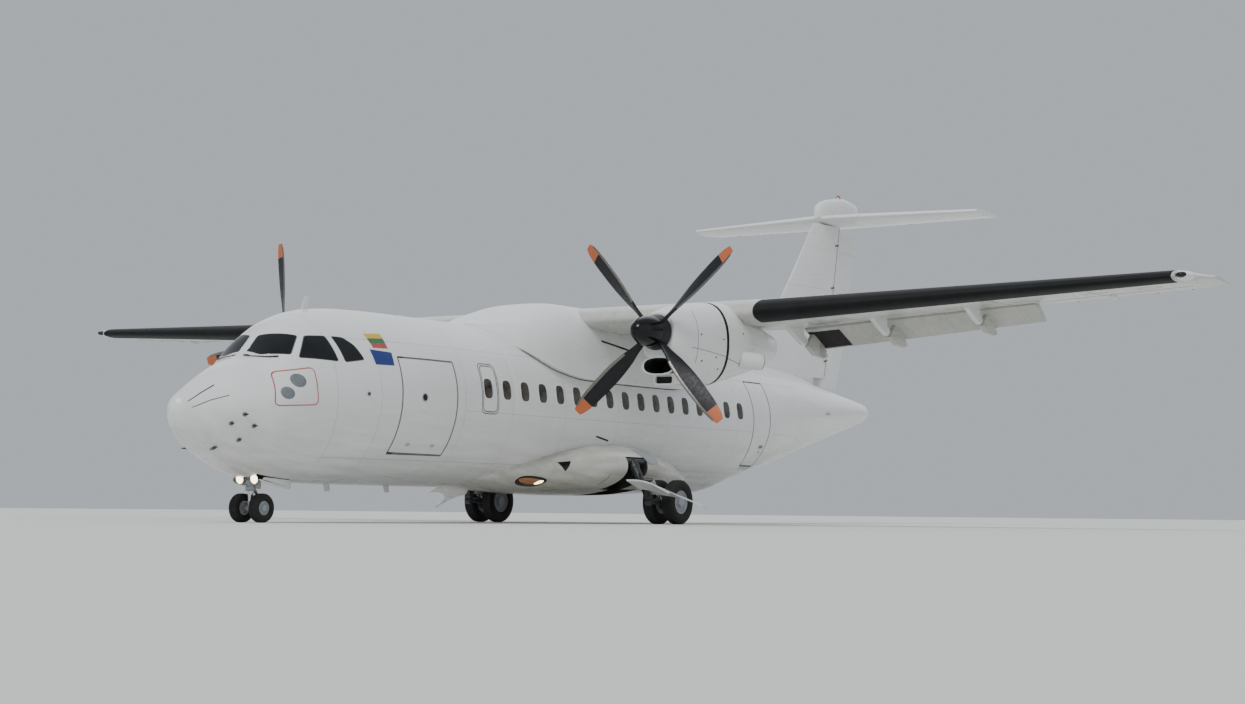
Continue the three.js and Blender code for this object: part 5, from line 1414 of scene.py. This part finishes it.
# Main gear: leg, trailing arm, shock strut, brake hoses, wheels and the door on the leg
MAIN_AXLE = (10.62, 0.4065)
TRACK_HALF = 2.05
KNEE = (9.964, 2.05, 0.43)
LEG_TOP = (10.02, 1.64, 1.15)
STRUT_TOP = (10.06, 2.05, 0.8)
STRUT_FOOT = (10.34, 2.05, 0.44)
LEG_DOOR_FORE = ((9.529, 1.846, 0.803), (9.55, 2.72, 0.576))
LEG_DOOR_REAR = ((10.09, 1.95, 0.57), (10.361, 3.145, 0.283))
LEG_DOOR_BULGE = 0.075
LEG_DOOR_NOTCH = ((9.809, 3.064, 0.43), (0.216, 0.241, 0.948), 0.436)


def sided(side, *points):
    return [(aft, side * y, z) for aft, y, z in points]


def make_main_gear(name, side):
    top, foot = sided(side, LEG_TOP, (KNEE[0], KNEE[1], KNEE[2] + 0.07))
    leg = [
        collared([top, foot], [(0, 0.08), (0.1, 0.078), (0.12, 0.092), (0.2, 0.092), (0.22, 0.076), (0.7, 0.067),
                               (0.72, 0.08), (0.8, 0.08), (0.82, 0.064), (1, 0.062)]),
        rod(*sided(side, (9.7604, 1.64, 1.15), (10.4196, 1.64, 1.15)), 0.055),
        collared(sided(side, (KNEE[0], 1.98, 0.49), (KNEE[0], 2.12, 0.49)), [
            (0, 0.04), (0.08, 0.048), (0.92, 0.048), (1, 0.04)]),
        rod(*sided(side, (9.984, 2.01, 0.59), (10.16, 1.65, 0.8)), 0.03, 0.024),
        rod(*sided(side, (10.16, 1.65, 0.8), (10.33, 1.3, 1.0)), 0.024, 0.03),
        rod(*sided(side, (10.13, 1.65, 0.8), (10.19, 1.65, 0.8)), 0.036),
        rod(*sided(side, (9.991, 1.851, 0.8), (10.06, 2.07, 0.8)), 0.038),
    ]
    dress(joined(f"main_leg_forging_{name}", *leg), "airframe", DARK_GEAR, (f"main_leg_{name}",))
    aft, z = MAIN_AXLE
    knee, axle = sided(side, (KNEE[0], KNEE[1], 0.418), (aft, TRACK_HALF, z))
    arm = [
        collared([knee, axle], [(0, 0.05), (0.08, 0.062), (0.16, 0.056), (0.45, 0.052), (0.5, 0.066), (0.6, 0.066),
                                (0.64, 0.054), (0.85, 0.06), (1, 0.062)]),
        collared(sided(side, (KNEE[0], 1.99, 0.39), (KNEE[0], 2.11, 0.39)), [
            (0, 0.042), (0.1, 0.05), (0.9, 0.05), (1, 0.042)]),
        collared(sided(side, (aft, 1.97, z), (aft, 2.13, z)), [
            (0, 0.07), (0.08, 0.078), (0.3, 0.078), (0.32, 0.084), (0.68, 0.084), (0.7, 0.078), (0.92, 0.078),
            (1, 0.07)]),
    ]
    for out in (-1, 1):
        ends = sided(side, (aft, TRACK_HALF + out * 0.082, z), (aft, TRACK_HALF + out * 0.122, z))
        arm.append(collared(ends, [(0, 0.11), (0.1, 0.135), (0.9, 0.135), (1, 0.12)], 48))
    dress(joined(f"main_arm_forging_{name}", *arm), "airframe", DARK_GEAR, (f"main_arm_{name}",))
    middle = np.array(STRUT_TOP) + (np.array(STRUT_FOOT) - STRUT_TOP) * 0.62
    start, half, end = sided(side, STRUT_TOP, middle, STRUT_FOOT)
    cylinder = collared([start, half], [(0, 0.034), (0.04, 0.046), (0.12, 0.05), (0.8, 0.05), (0.82, 0.056),
                                        (0.96, 0.056), (1, 0.046)])
    dress(cylinder, "airframe", GEAR_ENAMEL).name = f"strut_cylinder_{name}"
    piston = collared([half, end], [(0, 0.034), (0.8, 0.034), (0.82, 0.042), (1, 0.042)])
    dress(piston, "airframe", CHROME_STEEL, (f"shock_strut_{name}",)).name = f"strut_piston_{name}"
    hoses = []
    for shift in (0, 0.022):
        path = sided(side, (9.99, 1.79 + shift, 0.98), (9.93, 1.86 + shift, 0.88), (9.9, 1.93 + shift, 0.72),
                     (9.905, 1.965 + shift, 0.58), (9.95, 1.96, 0.5), (10.08, 1.97 - shift, 0.47),
                     (10.25, 1.965, 0.46 - shift), (10.42, 1.97, 0.47), (10.53, 1.975, 0.47 + shift),
                     (10.58, 1.985, 0.455 + shift))
        path = smooth([(i, *point) for i, point in enumerate(path)], np.linspace(0, 9, 46))
        hoses.append(tube("hose", path, 0.009, 12))
    trim(f"brake_hoses_{name}", hoses, TYRE_RUBBER)
    wheels = f"main_wheels_{name}"
    add_wheels(wheels, wheels, MAIN_WHEEL, aft, side * TRACK_HALF, z, f"main_wheel_{name}")
    make_leg_door(name, side)


def make_leg_door(name, side):
    """A sheet between two edges that run outboard, bulged by half a sine, with a round notch cut through."""
    t = np.linspace(0, 1, 24)[:, None, None]
    u = np.linspace(0, 1, 14)[None, :, None]
    edges = [np.array(edge[0]) + (np.array(edge[1]) - edge[0]) * t for edge in (LEG_DOOR_FORE, LEG_DOOR_REAR)]
    sheet = edges[0] + (edges[1] - edges[0]) * u
    sheet = sheet + np.array((0, 0, LEG_DOOR_BULGE)) * np.sin(np.pi * t)
    sheet = np.stack([station(sheet[..., 0]), side * sheet[..., 1], sheet[..., 2]], -1)
    door = sheet_solid(f"main_door_{name}", sheet, sheet - (0, 0, 0.026))
    centre, axis, radius = LEG_DOOR_NOTCH
    ends = sided(side, *[np.array(centre) + np.array(axis) * way for way in (-1, 1)])
    cut(door, tube("notch", ends, radius, 64))
    dress(door, "airframe", PLAIN_SKIN, (f"main_gear_door_{name}",))


for _name, _side in SIDES:
    make_main_gear(_name, _side)


# Fittings laid on the skins: a surface is given as a function of two places on it, in metres, and of a height over
# it; plates, lips and strips are outlines and paths in those two places


def evenly(path, count, closed):
    """Points at equal steps along a path, found from its length so far."""
    path = np.asarray(path, float)
    if closed:
        path = np.vstack([path, path[:1]])
    far = np.concatenate([[0], np.cumsum(np.linalg.norm(np.diff(path, axis=0), axis=1))])
    at = np.linspace(0, far[-1], count, endpoint=not closed)
    return np.stack([np.interp(at, far, column) for column in path.T], -1)


def plate_on(name, at, outline, raised=0.003, sunk=-0.006):
    """A plate that follows a surface: the outline drawn in to its middle by steps, at a low and a high level."""
    outline = evenly(outline, 72, True)
    middle = outline.mean(0)
    steps = [(0.02, sunk), (0.5, sunk), (1, sunk), (1, raised * 0.5), (0.98, raised), (0.5, raised), (0.02, raised)]
    return loft(name, [at(*(middle + (outline - middle) * share).T, level) for share, level in steps], 40)


def square_to(path, closed):
    along = np.roll(path, -1, 0) - np.roll(path, 1, 0) if closed else np.gradient(path, axis=0)
    return np.stack([along[:, 1], -along[:, 0]], -1) / np.linalg.norm(along, axis=1, keepdims=True)


def lip_on(name, at, outline, width, raised=0.003, sunk=-0.006, steps=96):
    """A lip along an outline: the outline moved square to itself by half the width each way, at two levels."""
    outline = evenly(outline, steps, True)
    aside = square_to(outline, True) * width
    levels = ((-0.5, sunk), (-0.5, raised), (0.5, raised), (0.5, sunk))
    return closed_rings(name, [at(*(outline + aside * out).T, level) for out, level in levels])


def strip_on(name, at, path, width, raised=0.003, sunk=-0.006, steps=24):
    path = evenly(path, steps, False)
    aside = square_to(path, False) * width
    sheets = [np.stack([at(*(path + aside * out).T, level) for out in (-0.5, 0, 0.5)], 1) for level in (raised, sunk)]
    return sheet_solid(name, *sheets)


def oval(a, b, half_a, half_b, power=1.0, around=48):
    across, up = rounded_power(full_turn(around), power)
    return np.stack([a + half_a * across, b + half_b * up], -1)


def skin_at(side):
    return lambda aft, z, level: hull_side(aft, z, side, level)


def side_of(table, power, centre_y=0.0):
    """Sides of a lofted body of rounded ovals: the half width times the cosine of the height's angle, to a power."""
    def at(aft, z, level, side):
        half, bottom, top, widest = np.moveaxis(smooth(table, aft), -1, 0)
        reach = np.where(z > widest, top - widest, widest - bottom) + level
        up = np.clip(abs(z - widest) / reach, 0, 1) ** (1 / power)
        across = (half + level) * (1 - up * up) ** (power / 2)
        return xyz(station(aft), centre_y + side * across, z)
    return at


BELLY_SIDE = side_of(BELLY, BELLY_POWER)
SADDLE_ROWS = [(aft, half, 2 * foot - top, top, foot) for aft, top, foot, half in ROOT_FAIRING]
SADDLE_SIDE = side_of(SADDLE_ROWS, SADDLE_POWER)


def cowl_at(side, out):
    rows = [(aft, half, bottom, top, widest) for aft, top, bottom, half, widest in NACELLE]
    at = side_of(rows, COWL_POWER, side * ENGINE_Y)
    return lambda aft, z, level: at(aft, z, level, out)


def under_wing(side):
    def at(y, aft, level):
        lead, chord = wing_values(y)[:2]
        x = (aft - lead) / chord
        return on_wing(side, y, x, lower(y, x) - level / chord)
    return at


PORT_PANEL = [(1.359, 2.283), (2.018, 2.389), (2.039, 1.811), (1.267, 1.765)]
PANEL_OVALS = [(1.714, 2.17, 0.13, 0.105), (1.502, 1.969, 0.115, 0.095)]
NOSE_STRIPS = [[(0.152, 1.792), (0.35, 1.93), (0.565, 2.055)], [(0.187, 1.702), (0.42, 1.82), (0.666, 1.9)]]
PROBES = [(0.852, 1.619, 0.1, 0.13), (0.689, 1.48, 0.07, 0.08), (1.008, 1.451, 0.1, 0.13), (0.864, 1.239, 0.06, 0.06),
          (0.62, 1.112, 0.06, 0.06), (3.031, 2.027, 0.05, 0.07)]
PATCHES = [
    (((3.231, 3.001), (3.597, 3.028), (3.601, 2.781), (3.289, 2.776)), (BAND_YELLOW, BAND_GREEN, SIGNAL_RED)),
    (((3.2, 2.744), (3.642, 2.72), (3.624, 2.507), (3.236, 2.504)), (BAND_BLUE,)),
]


def probe(aft, z, side, out, forward):
    """A pressure probe: a stem square to the skin, bent forward into a tapered tube."""
    foot = hull_side(aft, z, side, -0.01)
    square = hull_side(aft, z, side, 0.2) - foot
    square /= np.linalg.norm(square)
    steps = [(0, 0, 0.013), (0.6, 0, 0.011), (0.92, 0.12, 0.01), (1, 0.4, 0.009), (1, 1, 0.005)]
    path = [foot + square * out * o + np.array([forward * f, 0, 0]) for o, f, _ in steps]
    return tube("probe", [(LENGTH / 2 - x, y, z) for x, y, z in path], [radius for _, _, radius in steps], 12)


def aerial(aft, y, z, tall, chord, thick=0.02, sweep=0.45):
    """A swept blade: ovals that shrink and move aft as they rise."""
    t = np.linspace(0, 1, 8)[:, None]
    angle = full_turn(20)[None]
    shrink = 1 - 0.25 * t ** 1.5
    x = station(aft + abs(tall) * sweep * t + chord * shrink * 0.5 * (1 - np.cos(angle)))
    return loft("aerial", xyz(x, y + thick / 2 * np.sin(angle) * shrink, z + tall * t), 50)


def band_sheet(corners, side, low, high):
    """One band of a four-cornered patch, between two shares of the way down it."""
    u = np.linspace(0, 1, 14)[:, None, None]
    v = np.linspace(low, high, 8)[None, :, None]
    a, b, c, d = (np.array(corner) for corner in corners)
    place = (a + (b - a) * u) * (1 - v) + (d + (c - d) * u) * v
    aft, z = place[..., 0], place[..., 1]
    return sheet_solid("band", hull_side(aft, z, side, 0.0025), hull_side(aft, z, side, -0.004))


def make_nose_fittings():
    lips, greys, darks, whites = [], [], [], []
    for name, side in SIDES:
        at = skin_at(side)
        lips.append(lip_on("lip", at, rounded(PORT_PANEL, 0.09), 0.016, 0.002))
        greys += [plate_on("oval", at, oval(*place), 0.003) for place in PANEL_OVALS]
        darks += [strip_on("strip", at, path, 0.009, 0.003) for path in NOSE_STRIPS]
        darks += [probe(aft, z, side, out, forward) for aft, z, out, forward in PROBES]
        greys += [plate_on("foot", at, oval(aft, z, 0.034, 0.034), 0.004) for aft, z, _, _ in PROBES]
        for i, (corners, colours) in enumerate(PATCHES):
            for k, colour in enumerate(colours):
                band = band_sheet(corners, side, k / len(colours), (k + 1) / len(colours))
                dress(band, "airframe", colour).name = f"patch_{i}_{k}_{name}"
        arm = [(1.6, 0.63, 0.016), (1.5, 0.5, 0.022), (1.42, 0.33, 0.024), (1.37, 0.14, 0.02)]
        path = []
        for aft, y, level in arm:
            half = smooth(FUSELAGE, aft)[2]
            x, y, z = hull(aft, np.arccos(side * y / half), level)
            path.append((LENGTH / 2 - x, y, z))
        darks.append(tube("wiper", path, [0.014, 0.009, 0.008, 0.006], 10))
    for aft, tall, chord in ((2.78, 0.24, 0.15), (5.25, 0.06, 0.16)):
        whites.append(aerial(aft, 0, smooth(FUSELAGE, aft + 0.06)[0] - 0.02, tall, chord))
    for aft in (3.4, 4.9):
        whites.append(aerial(aft, 0, 0.635, -0.13, 0.16))
    trim("static_panel_lips", lips, SIGNAL_RED)
    trim("static_plates", greys, STATIC_PLATE)
    trim("nose_probes_and_wipers", darks, DARK_STEEL)
    trim("blade_aerials", whites, PLAIN_SKIN)


def rectangle(a0, a1, b0, b1, radius=0.06):
    return rounded([(a0, b1), (a1, b1), (a1, b0), (a0, b0)], radius)


def make_body_fittings():
    seam_lips, straps, slits, handles = [], [], [], []
    for fore, rear, sill, head, side in DOORS.values():
        outline = rectangle(fore - 0.02, rear + 0.02, sill - 0.02, head + 0.02, 0.02)
        seam_lips.append(lip_on("lip", skin_at(side), outline, 0.016, 0.0015, steps=400))
    for name, side in SIDES:
        at = skin_at(side)
        for inset in (0, 0.035):
            outline = rectangle(5.74 + inset, 6.2 - inset, 1.84 + inset, 2.68 - inset, 0.1)
            seam_lips.append(lip_on("lip", at, outline, 0.014, 0.0015))
        straps.append(strip_on("strap", at, [(6.77, 1.5), (6.77, 3.05)], 0.05, 0.006))
        # The slits, vents and inlets are black plates: their black is painted shade of the openings
        slits.append(strip_on("slit", at, [(9.27, 1.576), (9.7, 1.51)], 0.03, 0.004))
        saddle = lambda aft, z, level, side=side: SADDLE_SIDE(aft, z, level, side)
        slits.append(strip_on("slit", saddle, [(9.33, 3.31), (10.21, 3.2)], 0.035, 0.004))
        aft = np.linspace(7.35, 13.3, 40)
        foot = np.column_stack([aft, smooth(ROOT_FAIRING, aft)[:, 1]])
        seam_lips.append(strip_on("foot_seam", at, foot, 0.03, 0.002, steps=60))
        belly = lambda aft, z, level, side=side: BELLY_SIDE(aft, z, level, side)
        slits.append(plate_on("inlet", belly, [(8.08, 1.08), (8.36, 1.11), (8.23, 0.92)], 0.004))
        slits.append(strip_on("vent", belly, [(9.34, 0.9), (9.355, 0.7)], 0.012, 0.002))
        make_landing_lamp(name, belly)
        panel = rounded([(10.21, 1.38), (10.80, 1.36), (10.87, 1.12), (10.47, 1.1)], 0.04)
        dress(plate_on(f"leg_upper_panel_{name}", belly, panel, 0.012), "airframe", PALE_GREY)
        box = plate_on(f"tail_lamp_box_{name}", at, rectangle(19.1, 19.42, 2.405, 2.465, 0.02), 0.02)
        dress(box, "airframe", PALE_GREY)
    for aft in (15.07, 15.29, 15.51):
        handles.append(plate_on("hinge", skin_at(1), rectangle(aft - 0.05, aft + 0.05, 1.105, 1.17, 0.015), 0.003))
    trim("exit_outlines", seam_lips, SEAM_SEALANT)
    trim("skin_straps", straps, PLAIN_SKIN)
    trim("skin_slits_painted_shade", slits, BLACK_ENAMEL)
    trim("step_hinges", handles, PALE_GREY)
    make_door_fittings()


def make_landing_lamp(name, belly):
    """A long oval glass-faced bowl in a black rim, with a dim amber glow that is painted light of the lit bulb
    towards its rear end.
    """
    tilted = oval(0, 0, 0.31, 0.066, 0.9)
    tilted = tilted + np.array([7.72, 0.74]) + np.stack([tilted[:, 0] * 0, -0.1 * tilted[:, 0]], -1)
    rim = lip_on(f"landing_lamp_rim_{name}", belly, tilted, 0.035, 0.004)
    dress(rim, "airframe", BLACK_ENAMEL)
    dress(plate_on(f"landing_lamp_bowl_{name}", belly, tilted, 0.002), "airframe", AMBER_REFLECTOR_PAINTED_GLOW)
    bulb = oval(7.915, 0.723, 0.062, 0.036)
    dress(plate_on(f"landing_lamp_bulb_{name}", belly, bulb, 0.004), "airframe", LIT_LAMP)


def make_door_fittings():
    at = skin_at(1)
    grip = [plate_on("grip_plate", at, rectangle(15.34, 15.56, 1.53, 1.62, 0.03), 0.002),
            plate_on("grip_plate", at, rectangle(15.42, 15.5, 1.44, 1.5, 0.02), 0.002)]
    trim("passenger_door_grip_plates", grip, PALE_GREY, "passenger_door")
    dress(strip_on("passenger_door_grip", at, [(15.37, 1.575), (15.53, 1.575)], 0.022, 0.006), "passenger_door",
          DARK_STEEL)
    port = plate_on("cargo_door_port", at, oval(4.242, 2.029, 0.055, 0.055), 0.002)
    dress(port, "cargo_door", DARK_GLASS)
    port_lip = lip_on("cargo_door_port_lip", at, oval(4.242, 2.029, 0.064, 0.064), 0.018, 0.004)
    dress(port_lip, "cargo_door", PALE_GREY)
    latch = [plate_on("latch", at, rectangle(aft - 0.05, aft + 0.05, 1.24, 1.29, 0.015), 0.002) for aft in (4.1, 4.7)]
    trim("cargo_door_latches", latch, PALE_GREY, "cargo_door")
    at = skin_at(-1)
    grip = plate_on("service_door_grip", at, rectangle(15.05, 15.2, 1.9, 1.97, 0.02), 0.002)
    dress(grip, "service_door", PALE_GREY)
    glass = plate_on("service_door_port", at, oval(15.265, 2.25, 0.06, 0.08), 0.002)
    dress(glass, "service_door", DARK_GLASS)


# Nacelle fittings: the rubber strip at the seam, latches, the oil cooler's mouth and its lip
COOLER = {"aft": 7.24, "z": 2.415, "half": 0.165, "tall": 0.062, "wall": 0.03, "deep": 0.34}
LATCHES = [(7.69, 3.19), (8.36, 3.155), (8.15, 2.835), (7.75, 2.75), (8.3, 2.65), (9.05, 3.3), (9.05, 2.95)]


def ovals_grown(side, fore, rear, level, table=NACELLE, steps=3):
    rows = between_rows(table, fore, rear, steps) + np.array([0, level, -level, level, 0])
    return oval_rings(side, rows, COWL_POWER)


def make_cooler(name, side):
    """A flat tube under the chin: rounded rectangles at the lip, a little larger behind it, closed within."""
    rings = []
    for inset, along in ((1, 0.05), (1, 0.008), (0.5, 0), (0, 0.012), (0, COOLER["deep"]), (1, COOLER["deep"])):
        half, tall = (COOLER[key] - COOLER["wall"] * (inset - 1) for key in ("half", "tall"))
        drop = 0.04 * along / COOLER["deep"]
        across = oval(side * ENGINE_Y, COOLER["z"] + drop, half, tall, 0.35, 64)
        rings.append(np.column_stack([np.full(len(across), station(COOLER["aft"] + along)), across]))
    dress(closed_rings(f"cooler_lip_{name}", rings), "airframe", PLAIN_SKIN)
    core = oval(side * ENGINE_Y, COOLER["z"], COOLER["half"] + 0.004, COOLER["tall"] + 0.004, 0.35, 64)
    slab = [np.column_stack([np.full(len(core), station(COOLER["aft"] + along)), core]) for along in (0.06, 0.09)]
    dress(loft(f"cooler_core_{name}", slab), "airframe", BLACK_ENAMEL)


def make_nacelle_fittings():
    for name, side in SIDES:
        fore, rear = ovals_grown(side, 8.465, 8.54, 0.004), ovals_grown(side, 8.465, 8.54, -0.01)
        strip = closed_rings("seam_strip", np.concatenate([fore, rear[::-1]]))
        dress(strip, "airframe", BOOT_NEOPRENE).name = f"cowl_seam_strip_{name}"
        darks = []
        for out in (-1, 1):
            at = cowl_at(side, out)
            darks += [plate_on("latch", at, oval(aft, z, 0.018, 0.018), 0.002) for aft, z in LATCHES]
            darks.append(strip_on("cowl_line", at, [(7.45, 2.96), (8.46, 2.87)], 0.008, 0.0015))
            darks.append(strip_on("cowl_line", at, [(8.55, 2.84), (9.4, 2.72)], 0.008, 0.0015))
            darks.append(strip_on("cowl_line", at, [(7.62, 3.6), (7.6, 3.2), (7.6, 2.7)], 0.008, 0.0015))
        trim(f"cowl_latches_{name}", darks, SEAM_SEALANT)
        make_cooler(name, side)


def make_sooted_skins():
    """The sooted part of each outer flap, laid on its lower skin before it is turned down with it."""
    for name, side in SIDES:
        y = np.linspace(4.72, 5.36, 8)[:, None]
        x = np.linspace(0.76, 0.985, 12)[None]
        sheets = [on_wing(side, y, x, lower(y, x) - level / wing_values(y)[1]) for level in (0.002, -0.004)]
        sheet = swung(sheet_solid(f"sooted_skin_{name}", *sheets), side, OUTER_FLAP)
        dress(sheet, f"flap_outer_{name}", SOOTED_ENAMEL)


def make_blade_strips():
    """Metal over the blades' fore edges: the blade's own ovals, a little larger, kept to their fore ends."""
    radius = np.linspace(0.62, 1.9, 20)
    angle = np.linspace(-0.85, 0.85, 13)[None]
    skins = [blade_skin(radius, angle, level) for level in (0.003, -0.004)]
    for name, side in SIDES:
        strips = four_about(lambda: sheet_solid("strip", *skins), name, side)
        trim(f"blade_edge_strips_{name}", strips, NICKEL_STRIP, f"propeller_{name}")


def ovoid(name, centre, along, across, tall):
    """A pod: ovals whose size is the root of one less the square of the way along."""
    u = np.sin(np.linspace(-np.pi / 2, np.pi / 2, 26) * 0.985)[:, None]
    angle = full_turn(32)[None]
    size = np.sqrt(1 - u * u)
    y = centre[1] + across * size * np.cos(angle)
    return loft(name, xyz(station(centre[0] + along * u), y, centre[2] + tall * size * np.sin(angle)), 50)


def wick(end, drop=0.0):
    """A static wick behind a trailing edge: a thin rod that may hang a little at its end."""
    aft = LENGTH / 2 - end[0]
    return tube("wick", [(aft - 0.01, end[1], end[2]), (aft + 0.13, end[1], end[2] - drop)], [0.005, 0.003], 8)


def chord_point(y, share):
    """A point of the wing's plan: the distance from the middle and the distance aft, a share of the chord back."""
    lead, chord = wing_values(y)[:2]
    return y, lead + chord * share


def make_tip_fittings():
    for name, side in SIDES:
        pod = ovoid(f"tip_lamp_pod_{name}", (9.93, side * 12.0, 4.0), 0.24, 0.15, 0.075)
        dress(pod, "airframe", PLAIN_SKIN)
        lens = ovoid(f"tip_lamp_lens_{name}", (9.79, side * 12.0, 4.0), 0.125, 0.1, 0.052)
        dress(lens, "airframe", DARK_GLASS)
        wicks = [wick(on_wing(side, np.array(y), 1.0, 0.0), 0.004) for y in (9.7, 10.4, 11.1, 11.7)]
        trim(f"aileron_wicks_{name}", wicks, DARK_STEEL, f"aileron_{name}")
        wicks = [wick(on_tail(np.array(side * y), 1.0, 0.0)) for y in (1.4, 2.3, 3.2)]
        trim(f"elevator_wicks_{name}", wicks, DARK_STEEL, f"elevator_{name}")
        under = under_wing(side)
        path = [chord_point(y, AILERON_HINGE - 0.065) for y in (9.32, 11.88)]
        seals = [strip_on("seal", under, path, 0.02, 0.0015)]
        for y in (6.1, 7.45, 8.8, 10.4):
            seals.append(strip_on("seal", under, [chord_point(y, share) for share in (0.24, 0.66)], 0.008, 0.001))
        for y in (5.6, 6.8, 8.0, 9.2, 10.4, 11.3):
            seals.append(lip_on("cover", under, oval(*chord_point(y, 0.45), 0.2, 0.11), 0.01, 0.001))
        trim(f"wing_foot_seals_{name}", seals, SEALANT)
        pod = ovoid(f"aileron_hinge_pod_{name}", (11.02, side * 10.45, 3.845), 0.14, 0.05, 0.06)
        dress(pod, f"aileron_{name}", PLAIN_SKIN)


# aft, height, and whether it stands up or hangs down
BEACONS = ((21.35, 7.59, 1), (13.75, 0.61, -1))


def make_tail_fittings():
    fittings = []
    for side in (1, -1):
        at = lambda aft, z, level, side=side: xyz(station(aft), side * (fin_half(z) + level), z)
        for z in (3.72, 5.44, 6.45):
            hinge = rudder_hinge(z)
            fittings.append(strip_on("fitting", at, [(hinge - 0.2, z - 0.03), (hinge - 0.05, z)], 0.035, 0.012))
        path = [(rudder_hinge(z) - fin_half(z) * 0.53 - 0.012, z) for z in (3.32, 6.86)]
        fittings.append(strip_on("seal", at, path, 0.018, 0.0015))
    trim("rudder_hinge_fittings", fittings, SEAM_SEALANT)
    dome = [(0, 0.075), (0.018, 0.072), (0.034, 0.062), (0.044, 0.044), (0.047, 0.02), (0.047, -0.02), (0, -0.02)]
    beacons = [turned("beacon", dome, (station(aft), 0, z), (0, 0, way), 32) for aft, z, way in BEACONS]
    trim("beacons", beacons, RED_LENS_PAINTED_GLOW)
    collar = [(0.06, 0.012), (0.066, 0.004), (0.066, -0.03), (0.04, -0.03), (0.04, 0.012), (0.06, 0.012)]
    collars = [turned("collar", collar, (station(aft), 0, z), (0, 0, way), 32) for aft, z, way in BEACONS]
    trim("beacon_collars", collars, BARE_ALUMINIUM)


make_nose_fittings()
make_body_fittings()
make_nacelle_fittings()
make_sooted_skins()
make_blade_strips()
make_tip_fittings()
make_tail_fittings()


def make_stage():
    size = 160
    corners = [(-size, -size, 0), (size, -size, 0), (size, size, 0), (-size, size, 0)]
    floor = mesh_object("floor", corners, [(0, 1, 2, 3)])
    material, _, _ = finish("pale_floor", "#dcdcd8", 0.9)
    floor.data.materials.append(material)
    world = bpy.data.worlds.new("studio")
    world.use_nodes = True
    background = world.node_tree.nodes["Background"]
    background.inputs[0].default_value = linear("#e6edf5")
    background.inputs[1].default_value = 0.6
    bpy.context.scene.world = world
    for name, place, energy, spread_angle in (
        ("key", (24, 2, 30), 1.9, 30),
        ("fill", (10, 30, 12), 0.35, 70),
        ("rim", (-24, -10, 16), 0.5, 60),
    ):
        data = bpy.data.lights.new(name, "SUN")
        data.energy, data.angle = energy, math.radians(spread_angle)
        light = bpy.data.objects.new(name, data)
        light.location = place
        light.rotation_euler = (Vector((0, 0, 2)) - Vector(place)).to_track_quat("-Z", "Y").to_euler()
        bpy.context.collection.objects.link(light)


make_stage()
